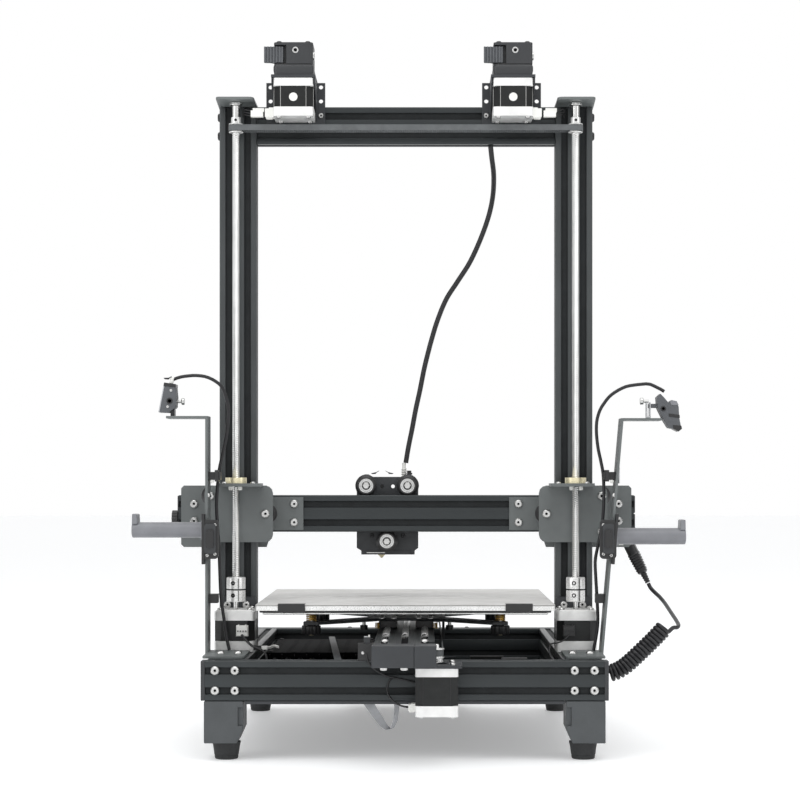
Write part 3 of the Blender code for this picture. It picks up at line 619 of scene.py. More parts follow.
def make_cords():
    """The loose cords. Sensor and head cables follow their CAD solids; the curly lead runs beside them."""
    fixed_cord("filament_sensor_cable_left", SENSOR_LEFT, SENSOR_CABLE, JACKET, node="sensor_cable_left")
    fixed_cord("filament_sensor_cable_right", SENSOR_RIGHT, SENSOR_CABLE, JACKET, node="sensor_cable_right")
    fixed_cord("end_switch_wire", SWITCH_WIRE, 1.9)
    fixed_cord("bed_motor_wire", BED_MOTOR_WIRE, 1.9)
    fixed_cord("lift_motor_wire_left", LIFT_WIRE_LEFT, 2.6)
    fixed_cord("lift_motor_wire_right", LIFT_WIRE_RIGHT, 1.8)
    upper, lower = smooth_route(UMBILICAL_UPPER, 4), smooth_route(UMBILICAL_LOWER, 4)
    blended_cord("head_cable_upper", upper, HEAD_CABLE, ("frame", "gantry"),
                 (UMBILICAL_UPPER[0], UMBILICAL_UPPER[-1]), ["umbilical_upper"], 16,
                 far_end="object", stiffness="medium", lay="hanging")
    blended_cord("head_cable_lower", lower, HEAD_CABLE, ("gantry", "head"),
                 (UMBILICAL_LOWER[0], UMBILICAL_LOWER[-1]), ["umbilical_lower"], 16,
                 far_end="object", stiffness="medium", lay="hanging")
    plug = make_plug()
    blended_cord("curly_power_lead", helix_route(), COIL_WIRE, ("frame", "gantry"),
                 (COIL[0], LEAD[-1]), ["coil_cord", "coil_cord_lead"], 10,
                 far_end="plug", stiffness="medium", lay="hanging", with_pieces=[plug])


def make_plug():
    """Ribbed moulded plug under the end of the cross beam."""
    low, high = PLUG
    shape = Shape()
    rings = []

    def ring(depth, wide, thick):
        rings.append((rounded(-wide, wide, -thick, thick, min(wide, thick) * 0.6, 4), depth))

    for i in range(4):
        ring(i * 2.8, 2.7 + 0.25 * i, 2.7 + 0.2 * i)
        ring(i * 2.8 + 1.6, 2.8 + 0.25 * i, 2.8 + 0.2 * i)
        ring(i * 2.8 + 1.7, 2.3 + 0.25 * i, 2.3 + 0.2 * i)
        ring(i * 2.8 + 2.7, 2.3 + 0.25 * i, 2.3 + 0.2 * i)
    ring(11.2, 4.2, 3.8)
    ring(13, 7.2, 5.2)
    for i in range(6):
        start = 15 + i * 3.0
        wide, thick = 8.0 + 0.22 * i, 5.7 + 0.13 * i
        ring(start, wide - 0.9, thick - 0.7)
        ring(start + 0.4, wide, thick)
        ring(start + 2.0, wide, thick)
        ring(start + 2.4, wide - 0.9, thick - 0.7)
    ring(34, 9.3, 6.5)
    ring(36, 8.2, 5.8)
    ring(47, 8.2, 5.8)
    shape.rings(low, high - low, rings, HARD_BLACK)
    made = shape.make("curly_lead_plug", "gantry", bevel=0.2)
    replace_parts(made, "coil_cord_plug")
    return made


# ---------------------------------------------------------------- motors and drives

MOTOR_HOLES = [(a, b) for a in (-15.5, 15.5) for b in (-15.5, 15.5)]
SCREW_X, SCREW_Y = 180, 124.0


def motor(shape, plane, a, b, low, high, caps=(8.5, 8.5), screws=(True, True), edges=None):
    """A 42 mm stepper: bright cast caps, varnished core with thin strips on its edges (bright ones a painted
    highlight), corner screws.
    """
    half, core, edges = 21.15, 20.75, edges or DARK_STEEL
    lower, upper = low + caps[0], high - caps[1]
    cap = rounded(a - half, a + half, b - half, b + half, 3.4)
    shape.prism(plane, cap, low, lower, CAST)
    shape.prism(plane, cap, upper, high, CAST)
    cut = core - 7.3
    octagon = [(a + x, b + y) for x, y in (
        (cut, -core), (core, -cut), (core, cut), (cut, core),
        (-cut, core), (-core, cut), (-core, -cut), (-cut, -core))]
    shape.prism(plane, octagon, lower - 0.1, upper + 0.1, CORE_Z if plane == "XY" else CORE_Y)
    # Thin strips along the core's eight edges; bright ones are a painted highlight.
    for x, y in octagon:
        edge = circle(x * 0.998 + a * 0.002, y * 0.998 + b * 0.002, 0.36, 8)
        shape.prism(plane, edge, lower - 0.05, upper + 0.05, edges)
    normal = Vector(place(plane, 0, 0, 1))
    for end, wanted, direction in ((low, screws[0], -normal), (high, screws[1], normal)):
        if wanted:
            for sx, sy in MOTOR_HOLES:
                shape.bolt(place(plane, a + sx, b + sy, end), direction, 2.8, 1.7, SILVER, 1.25)


def connector(shape, point, direction, across, wide=12.6, tall=8.0, deep=7.0, finish=None):
    """Nylon socket, white if no finish is given, with its mating plug and four wire stubs."""
    out, side = Vector(direction), Vector(across)
    nylon = finish or NYLON
    up = out.cross(side)
    at = Vector(point)

    def brick(s0, s1, u0, u1, d0, d1, paint):
        corners = [(s0, u0), (s1, u0), (s1, u1), (s0, u1)]
        shape.skin([[at + side * s + up * u + out * d for s, u in corners] for d in (d0, d1)], paint)

    w, t = wide / 2, tall / 2
    brick(-w, w, -t, t, -0.3, deep * 0.55, nylon)
    brick(-w + 0.8, w - 0.8, -t + 0.8, t - 0.8, deep * 0.5, deep, nylon)
    brick(-w + 2, -w + 3.2, t - 0.9, t + 0.9, deep * 0.2, deep * 0.9, nylon)
    brick(w - 3.2, w - 2, t - 0.9, t + 0.9, deep * 0.2, deep * 0.9, nylon)
    pins = [-w + 2.2 + i * (wide - 4.4) / 3 for i in range(4)]
    for s in pins:
        start = at + side * s + out * (deep - 0.3)
        shape.tube([start, start + out * 2.4], 0.75, WIRE, 6)


def pulley(shape, point, direction, low, high, count=20):
    """Toothed belt pulley with two flanges, between two depths along its shaft."""
    profile = []
    for i in range(count * 4):
        radius = 6.0 if i % 4 < 2 else 5.4
        angle = 2 * math.pi * i / (count * 4)
        profile.append((radius * math.cos(angle), radius * math.sin(angle)))
    shape.rings(point, direction, [(profile, low), (profile, high)], ALUMINIUM)
    for start, end in ((low - 1.1, low), (high, high + 1.1)):
        shape.turned(point, direction, [(7.3, start), (7.6, start + 0.3), (7.6, end - 0.3), (7.3, end)],
                     ALUMINIUM, count=32)


def belt_loop(name, plane, ends, radius, level, thick, height, node):
    """A toothed belt round two pulleys, its teeth inwards at 2 mm pitch."""
    (a0, b0), (a1, b1) = ends
    first, second = Vector((a0, b0)), Vector((a1, b1))
    along = (second - first).normalized()
    normal = Vector((along.y, -along.x))
    straight = (second - first).length
    turn = math.pi * (radius + thick)
    total = 2 * (straight + turn)
    steps = 4 * round(total / 2)
    rings = []
    for i in range(steps):
        walked = total * i / steps
        if walked < straight:
            at, out = first + along * walked, normal
        elif walked < straight + turn:
            angle = (walked - straight) / turn * math.pi
            at, out = second, normal * math.cos(angle) + along * math.sin(angle)
        elif walked < 2 * straight + turn:
            at, out = second - along * (walked - straight - turn), -normal
        else:
            angle = (walked - 2 * straight - turn) / turn * math.pi
            at, out = first, -normal * math.cos(angle) - along * math.sin(angle)
        inner = radius + (0 if i % 4 < 2 else thick * 0.5)
        ring = []
        for r, d in ((inner, -height / 2), (radius + thick, -height / 2),
                     (radius + thick, height / 2), (inner, height / 2)):
            point = at + out * r
            ring.append(place(plane, point.x, point.y, level + d))
        rings.append(ring)
    shape = Shape()
    shape.skin(rings, BELT, closed=True)
    made = shape.make(name, "frame", bevel=0)
    if node:
        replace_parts(made, node)
    return made


def make_motors():
    """Bed, lift and head motors with plates, pulleys and connectors, and the bed belt."""
    x, y = 31.8, -24.0
    shape = Shape()
    motor(shape, "XY", x, y, 49, 96.6, (10.7, 8.4), (True, False))
    connector(shape, (x - 21, y + 2, 56.5), LEFT, FAR)
    shape.plate("XY", rounded(9, 57, -47, -0.5, 4), [circle(x, y, 11.2)], 96.5, 99.8, PLATE_DARK)
    for sx, sy in MOTOR_HOLES:
        shape.bolt((x + sx, y + sy, 99.7), UP, 2.9, 2.2, SILVER, 1.3)
    shape.turned((x, y, 0), UP, [(2.5, 98), (2.5, 118.4), (2.1, 118.9)], STEEL)
    pulley(shape, (x, y, 0), UP, 106.4, 113.6)
    shape.turned((x, y, 0), UP, [(5.2, 100.8), (6.4, 101.2), (6.4, 105.4)], ALUMINIUM)
    shape.bolt((x, y - 6.2, 103.2), NEAR, 1.5, 0.4, DARK_STEEL, 0.8)
    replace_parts(shape.make("bed_drive_motor", "frame"), "y_motor")
    belt_loop("bed_belt", "XY", ((x, y), (x, 452.0)), 5.6, 110.2, 1.3, 6.0, "y_belt")

    for name, side in SIDES.items():
        x, y = side * SCREW_X, SCREW_Y
        shape = Shape()
        motor(shape, "XY", x, y, 100.35, 142.9, (11.4, 9.6), (False, False))
        connector(shape, (x - 8.6 * side, 103.1, 122.8), NEAR, RIGHT, tall=11.4,
                  finish=NYLON if side < 0 else HARD_BLACK)
        sheet = rounded(x - 19.5, x + 19.5, 105.5, 147.7, 2.5)
        shape.plate("XY", sheet, [circle(x, y, 11.2)], 142.8, 144.4, CAST)
        shape.prism("XZ", rounded(x - 19.5, x + 19.5, 139, 156, 2.5), 144.7, 147.5, PLATE_DARK)
        for sx, sy in MOTOR_HOLES:
            shape.bolt((x + sx, y + sy, 144.3), UP, 2.9, 2.2, SILVER, 1.3)
        for dx in (-11, 9):
            shape.bolt((x + dx, 144.8, 147.5), NEAR, 4.2, 2.4, SILVER, 1.8)
        shape.turned((x, y, 0), UP, [(2.5, 139), (2.5, 152.5)], STEEL)
        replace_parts(shape.make(f"lift_motor_{name}", "frame"), f"z_motor_{name}")

    x, z = -227, 244.5
    shape = Shape()
    motor(shape, "XZ", x, z, 216, 256, (8.5, 10), (False, True))
    sheet = rounded(x - 21, x + 21, z - 21, z + 21, 3)
    shape.plate("XZ", sheet, [circle(x, z, 11.2)], 213.8, 216.1, PLATE_DARK)
    for sx, sz in MOTOR_HOLES:
        shape.turned((x + sx, 0, z + sz), FAR, [(3, 204.3), (3, 214)], ALUMINIUM)
    connector(shape, (x, 249, z - 21), DOWN, RIGHT)
    shape.turned((x, 0, z), FAR, [(2.1, 204.4), (2.5, 204.9), (2.5, 216)], STEEL)
    pulley(shape, (x, 0, z), FAR, 206.2, 212.8)
    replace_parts(shape.make("head_drive_motor", "gantry"), "x_motor")


def make_screws():
    """Four-start lead screws with split couplings, pulleys, bearings and the sync belt."""
    step = 0.5
    for name, side in SIDES.items():
        x, y = side * SCREW_X, SCREW_Y
        start = (x, y, 0)
        shape = Shape()
        rings = []
        low, high = 177.5, 648.8
        count = round((high - low) / step)
        for i in range(count + 1):
            z = low + (high - low) * i / count
            ring = []
            for k in range(20):
                angle = 2 * math.pi * k / 20
                phase = (4 * k / 20 - z / 2) % 1
                radius = 4.0 - 0.6 * min(1, max(0, 4 * abs(phase - 0.5) - 0.6))
                ring.append((x + radius * math.cos(angle), y + radius * math.sin(angle), z))
            rings.append(ring)
        shape.skin(rings, STEEL)
        shape.turned(start, UP, [(4, 658), (4, 677.4), (3.4, 678)], STEEL)
        shape.turned(start, UP, [(2.6, 152.2), (9.5, 152.2), (10, 152.8), (10, 164.2), (9.4, 164.4),
                                        (9.4, 165.6), (10, 165.8), (10, 177.2), (9.5, 178), (3.5, 178)],
                     ALUMINIUM, count=40)
        # Dark cups round the set screws and a dark ring in the groove: painted shade.
        for level in (159, 172):
            for turn in (-14, 166):
                way = Vector((math.sin(math.radians(turn)), -math.cos(math.radians(turn)), 0))
                head = Vector((x, y, level)) + way * 9.5
                shape.turned(head, way, [(2.3, 0), (2.3, 0.55), (1.9, 0.6)], PAINTED_SHADE_BLACK, count=16)
                shape.turned(head, way, [(1.2, 0), (1.2, 0.8)], STEEL, count=12)
        shape.turned(start, UP, [(9.5, 164.3), (9.5, 165.7)], PAINTED_SHADE_BLACK, count=40)
        way = Vector((math.sin(math.radians(19)), -math.cos(math.radians(19)), 0))
        across = Vector((way.y, -way.x, 0))
        middle = Vector((x, y, 0)) + way * 9.75
        # Black strips in the couplings' slits: painted shade.
        for z0, z1 in ((153.2, 164), (166, 177)):
            corners = [middle + across * s + way * d
                       for s, d in ((-0.45, -0.6), (0.45, -0.6), (0.45, 0.32), (-0.45, 0.32))]
            shape.skin([[c + Vector((0, 0, z)) for c in corners] for z in (z0, z1)], HARD_BLACK)
        pulley(shape, start, UP, 650.1, 657.5)
        shape.turned(start, UP, [(4, 658.6), (5.2, 658.8), (5.2, 665), (4.8, 665.4), (4, 665.4)],
                     ALUMINIUM)
        shape.turned((x, y - 5.1, 662), NEAR, [(1.5, -0.4), (1.5, 0.15), (0.9, 0.1)], DARK_STEEL,
                     count=12)
        made = shape.make(f"lift_screw_{name}", f"screw_{name}", bevel=0)
        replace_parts(made, f"leadscrew_{name}")

        bearing = Shape()
        bearing.plate("XY", circle(x, y, 6.8, 32), [circle(x, y, 4.15, 24)], 677.8, 680.9, STEEL)
        bearing.make(f"screw_bearing_{name}", "frame")
    screws = ((-SCREW_X, SCREW_Y), (SCREW_X, SCREW_Y))
    belt_loop("lift_sync_belt", "XY", screws, 6.6, 653.8, 1.3, 6.0, "z_sync_belt")


# ---------------------------------------------------------------- frame

def spring_coil(shape, x, y, z0, z1, radius, wire, turns, finish):
    """A compression spring standing up."""
    points = []
    for i in range(turns * 14 + 1):
        angle = 2 * math.pi * i / 14
        points.append((x + radius * math.cos(angle), y + radius * math.sin(angle),
                       z0 + wire + (z1 - z0 - 2 * wire) * i / (turns * 14)))
    shape.tube(points, wire, finish, 6)


def strap(shape, stations, thick, finish):
    """A flat ribbon through stations, each a point and the ribbon's full width there."""
    points = [Vector(p) for p, _ in stations]
    rings = []
    for i, (point, (_, width)) in enumerate(zip(points, stations)):
        along = (points[min(i + 1, len(points) - 1)] - points[max(i - 1, 0)]).normalized()
        reach = Vector(width) / 2
        normal = along.cross(reach).normalized() * thick / 2
        rings.append([point - reach - normal, point + reach - normal, point + reach + normal,
                      point - reach + normal])
    shape.skin(rings, finish)


def beam_outline(a, b, cells_a, cells_b):
    """Cross-section of a slotted beam with rounded corners and slot lips."""
    lip = [(-4.3, 0), (-3.8, 0.12), (-3.5, 0.45), (-3.4, 1.0), (-3.4, 1.9), (-5.5, 1.9), (-5.5, 3.9),
           (-3.2, 6.1)]
    slot = lip + [(-t, d) for t, d in reversed(lip)]
    radius, points = 1.6, []
    for turn in range(4):
        cells = (cells_a, cells_b)[turn % 2]
        half, deep = cells * 10.0, (cells_b, cells_a)[turn % 2] * 10.0
        side = arc(radius - half, radius - deep, radius, 232, 270, 4)
        for k in range(cells):
            side += [(20 * k + 10 - half + t, d - deep) for t, d in slot]
        side += arc(half - radius, radius - deep, radius, 270, 308, 4)
        quarter = Matrix.Rotation(math.radians(90 * turn), 2)
        points += [tuple(quarter @ Vector(point)) for point in side]
    return [(a + x, b + y) for x, y in points]


def beam(node, plane, a, b, cells, low, high, finish, body="frame"):
    """A slotted beam in place of its CAD node, with dark strips deep in its slots as painted shade."""
    shape = Shape()
    shape.prism(plane, beam_outline(a, b, *cells), low, high, finish)
    for turn in range(4):
        count = cells[turn % 2]
        half, deep = count * 10.0, cells[(turn + 1) % 2] * 10.0
        quarter = Matrix.Rotation(math.radians(90 * turn), 2)
        for k in range(count):
            middle = 20 * k + 10 - half
            # A dark strip at each slot's floor: painted shade.
            shade_strip = [(middle + t, d - deep) for t, d in ((-5.2, 2.2), (5.2, 2.2), (5.2, 3.2), (-5.2, 3.2))]
            shade_strip = [tuple(Vector((a, b)) + quarter @ Vector(point)) for point in shade_strip]
            shape.prism(plane, shade_strip, low + 0.5, high - 0.5, SLOT_SHADE)
    made = shape.make(f"{node}_profile", body, bevel=0, angle=25)
    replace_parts(made, node)


GUIDE_RODS = (-20.0, 0.0, 20.0)


def make_frame():
    """Beams and plates with rounded edges, their screws, end caps and feet."""
    beam("near_cross_beam", "YZ", 10, 80, (1, 2), -200, 200, BEAM_X)
    beam("far_cross_beam", "YZ", 460, 80, (1, 2), -200, 200, BEAM_X)
    beam("top_beam", "YZ", 158, 661, (1, 2), -159.7, 159.7, BEAM_X)
    beam("x_beam", "YZ", 194, 244.5, (1, 2), -248, 248, BEAM_X, "gantry")
    dress("y_rail", BEAM_Y, 0.3)
    # Dark strips in the rail's slots: painted shade.
    rail_shade_strips = Shape()
    for x in GUIDE_RODS:
        rail_shade_strips.block(x - 5.2, x + 5.2, -50, 469, 117.2, 118.1, PAINTED_SHADE_BLACK)
    rail_shade_strips.make("rail_slot_painted_shade", "frame", bevel=0)
    for name, side in SIDES.items():
        beam(f"side_rail_{name}", "XZ", side * 180, 80, (2, 2), 20.3, 449.7, BEAM_Y)
        beam(f"upright_{name}", "XY", side * 180, 158, (2, 1), 100.3, 681, BEAM_Z_LIT)
        # These plates take the lit copy of the paint: painted light.
        dress(f"top_plate_{name}", PLATE_LIT, 0.5)
        dress(f"gantry_plate_{name}", PLATE_LIT, 0.5)
        dress(f"support_strip_{name}", PLATE_LIT, 0.4)
        dress(f"extruder_bracket_{name}", PLATE_DARK, 0.3)
    dress("base_tray", PLATE_DARK, 0.4)
    dress("bed_carriage", PLATE_DARK, 0.4)
    dress("x_carriage_plate", PLATE_DARK, 0.4)

    for name, side in SIDES.items():
        shape = Shape()
        for y, out in ((0, -1), (470, 1)):
            for x in (169.9, 189.8):
                for z in (70.4, 90.4):
                    shape.bolt((side * x, y, z), (0, out, 0), 4.7, 2.6, SILVER, 2.1)
        for z in (651, 671):
            shape.bolt((side * 200, 158, z), (side, 0, 0), 4.7, 2.6, DARK_STEEL, 2.1)
        for x in (170, 190):
            shape.bolt((side * x, 158, 684.3), UP, 4.4, 2.4, SILVER, 2.0)
        for y in (130, 186):
            for x in (170, 190):
                shape.bolt((side * x, y, 99.9), UP, 4.0, 2.2, SILVER, 1.8)
        shape.make(f"frame_screws_{name}", "frame", bevel=0)

        caps = Shape()
        for low, y in ((60, 10), (60, 460)):
            outline = rounded(y - 9.9, y + 9.9, low + 0.1, low + 39.9, 1.6)
            caps.prism("YZ", outline, side * 199.9, side * 204.2, MOULDED)
        caps.make(f"beam_end_caps_{name}", "frame", bevel=0.5)

        for end, low, pad_y, edge, out in (("near", 0.0, 20, 0.0, -1), ("far", 426.0, 450, 470.0, 1)):
            shape = Shape()
            outline = [(201, 17.5), (201, 59.7), (161.6, 59.7), (161.6, 32), (168, 17.5)]
            front = edge - out * 3.0
            depths = sorted((front, low if end == "far" else low + 44))
            shape.prism("XZ", mirrored(outline, side), depths[0], depths[1], MOULDED_FOOT)
            face = [(201, 17.5), (201, 59.7), (161.6, 59.7), (161.6, 53.5), (166.8, 53.5), (166.8, 35),
                    (162, 35), (162, 31), (168, 17.5)]
            depths = sorted((front, edge))
            shape.prism("XZ", mirrored(face, side), depths[0], depths[1], MOULDED_FOOT)
            made = shape.make(f"corner_foot_{end}_{name}", "frame", bevel=0.9)
            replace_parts(made, f"foot_{end}_{name}")
            pad = Shape()
            pad.turned((side * 180, pad_y, 0), UP, [(9.0, 0.8), (10.6, 0), (11.7, 0.7), (12.1, 3.4),
                       (11.8, 3.9), (12.3, 4.4), (13.5, 13), (14.6, 17.6)], RUBBER, count=40)
            pad.make(f"foot_pad_{end}_{name}", "frame", bevel=0.3)


def make_base():
    """What stands in and on the base: rods, rail end, switch, power supply, display and board."""
    shape = Shape()
    for x in GUIDE_RODS:
        shape.turned((x, 0, 119.3), FAR, [(3.3, 60), (3.72, 60.4), (3.72, 454.6), (3.3, 455)], ROD)
    shape.make("bed_guide_rods", "frame", bevel=0)

    shape = Shape()
    shape.block(-31.2, 9.6, -82, -52, 100.4, 121.6, PLATE_DARK)
    shape.block(10.0, 31.2, -82, -52, 100.4, 121.6, PLATE_DARK)
    shape.make("rail_end_block", "frame", bevel=0.8)
    shape = Shape()
    for x in (-20.0, 20.0):
        shape.bolt((x, 2, 118.2), UP, 4.2, 3.4, SILVER, 2.2)
        shape.bolt((x, 446, 118.2), UP, 4.2, 3.4, SILVER, 2.2)
    for x in (-19.7, 0.1):
        shape.hex_head((x, -60, 100.6), DOWN, 3.4, 4.4, SILVER)
    shape.make("rail_screws", "frame", bevel=0.2)

    shape = Shape()
    shape.block(-47, -31.4, 2, 20, 99.8, 117, HARD_BLACK)
    shape.block(-41.2, -34.6, 4, 18, 116.8, 123.4, MOULDED)
    shape.block(-36.6, -35.0, 6, 9, 123, 125.6, NYLON)
    shape.block(-41, -36.8, 5, 10, 123.2, 124.2, ZINC)
    shape.turned((-42, 3.9, 108), NEAR, [(1.7, -1), (1.7, 2.6), (1.2, 3)], SILVER, count=14)
    shape.make("bed_end_switch", "frame", bevel=0.4)

    shape = Shape()
    strap(shape, [((-44, 30, 62), (11, 2, 0)), ((-38, 31, 56), (11, 2, 0)), ((-29, 33, 42), (10, 3, 0)),
                  ((-21.5, 35, 31), (8, 4, 0)), ((-17, 36, 27.4), (6, 6, 0)), ((-13, 37, 28.4), (4, 7, 1)),
                  ((-9.8, 38, 36), (4, 8, 0)), ((-8.4, 39, 47), (4.5, 8, 0)), ((-9, 40, 60), (4.5, 8, 0))],
          0.7, RIBBON)
    shape.make("ribbon_loops", "frame", bevel=0.1)
    shape = Shape()
    shape.prism("XY", [(-72, 46), (-64.5, 46), (-86, 369), (-93, 369)], 95, 96.2, MOULDED_GREY)
    shape.make("cable_channel", "frame", bevel=0.2)
    shape = Shape()
    shape.block(-158.6, -150.4, 88, 94, 103.4, 108.4, HARD_BLACK)
    shape.block(-150.5, -144.4, 88.8, 93.2, 104, 107.8, NYLON)
    for y, lift in ((89.6, 106.8), (91, 106), (92.4, 105)):
        wire = [(-144.6, y, lift), (-140.6, y - 1, lift + 0.6), (-136.6, y - 4, lift + 2.2),
                (-131.8, y - 6, lift + 1)]
        shape.tube(smooth_route(wire, 2), 0.6, NYLON, 6)
    shape.make("supply_connector", "frame", bevel=0.2)
    shape = Shape()
    shape.rings((0, 65, 82), RIGHT, [(hexagon(7.2, 36), 199.7), (hexagon(7.2, 36), 203.4)], HARD_BLACK)
    shape.turned((0, 65, 82), RIGHT, [(6.6, 203.2), (6.6, 204.6), (5.4, 206.4), (3.2, 206.8)],
                 HARD_BLACK)
    shape.make("lead_gland", "frame", bevel=0.3)

    shape = Shape()
    case = [(200, 60.2), (415, 60.2), (415, 89.8), (222, 89.8), (222, 80), (200, 80)]
    # The dark case sits deep in the base's shade: it, its vents, terminal strip and fins are near-black
    # painted shade, and its screws are dark steel.
    shape.prism("YZ", case, -155, -40, PAINTED_SHADE_BLACK)
    for row in range(7):
        for column in range(12):
            x, y = -147 + 15.5 * row, 236 + 14 * column
            shape.turned((x, y, 89.6), UP, [(3.4, 0), (3.4, 0.28), (2.6, 0.3), (2.5, 0.1)], PAINTED_SHADE_BLACK,
                         count=12)
    shape.block(-152, -43, 203, 219, 79.8, 83, PAINTED_SHADE_BLACK)
    for i in range(8):
        x = -146 + 13.6 * i
        shape.block(x - 5.4, x - 4.4, 203, 219, 82.8, 88.4, PAINTED_SHADE_BLACK)
        shape.bolt((x + 1.6, 211, 82.9), UP, 3.0, 1.8, DARK_STEEL, 1.2)
    for y in (232, 404):
        for x in (-151, -44):
            shape.bolt((x, y, 89.8), UP, 2.6, 1.5, DARK_STEEL, 1.0)
    made = shape.make("supply_case", "frame", bevel=0.3)
    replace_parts(made, "power_supply")

    shape = Shape()
    wedge = [(470.3, 99), (481, 99)] + arc(502, 52, 9, 40, 8, 4) + arc(504, 29, 7, 0, -70, 5) + [
        (475, 20), (470.3, 24)]
    shape.prism("YZ", wedge, -78, 78, MOULDED)
    made = shape.make("display_case", "frame", bevel=1.2, segments=3)
    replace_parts(made, "display_unit")
    low, high = Vector((0, 510.9, 56.5)), Vector((0, 482.6, 98.4))
    up = (high - low).normalized()
    out = Vector((0, up.z, -up.y))
    shape = Shape()

    def panel(x0, x1, u0, u1, d0, d1, finish):
        corners = rounded(x0, x1, u0, u1, 1.6)
        shape.skin([[low + Vector((x, 0, 0)) + up * u + out * d for x, u in corners]
                    for d in (d0, d1)], finish)

    panel(-68, 44, 4, 45, -1.5, 0.7, HARD_BLACK)
    panel(-62, 38, 7.5, 41.5, 0.3, 1.0, SCREEN)
    dial = low + Vector((60, 0, 0)) + up * 27
    shape.turned(dial, out, [(10.5, -1.5), (10.5, 0.6), (9.4, 1.1)], HARD_BLACK, count=40)
    flutes = fluted(8.2, 0.35, 18, 108)
    shape.rings(dial, out, [(flutes, 0.8), (flutes, 8.6)], MOULDED_GREY)
    shape.turned(dial, out, [(7.6, 8.4), (7.2, 9.6), (6.4, 10.0)], MOULDED_GREY, count=40)
    shape.make("display_panel", "frame", bevel=0.2)
    shape = Shape()
    shape.block(-60, -46, 509, 511.6, 26, 30, HARD_BLACK)
    shape.block(-38, -28, 509, 511.6, 26, 31, ZINC)
    for x in (-72, 72):
        shape.bolt((x, 476, 98.9), UP, 2.6, 1.4, DARK_STEEL, 1.1)
    shape.make("display_ports", "frame", bevel=0.2)

    shape = Shape()
    shape.block(-58, 58, 440, 468, 64, 66, PLATE_DARK)
    shape.block(44, 150, 210, 400, 60.5, 62.3, HARD_BLACK)
    for x, y, w, d, h in ((60, 240, 22, 14, 9), (90, 240, 14, 14, 12), (120, 250, 18, 30, 7),
                          (64, 330, 26, 26, 6), (110, 340, 30, 12, 11), (74, 380, 40, 10, 10)):
        shape.block(x, x + w, y, y + d, 62, 62 + h, HARD_BLACK)
    shape.make("control_board", "frame", bevel=0.3)


# ---------------------------------------------------------------- feeders and holders

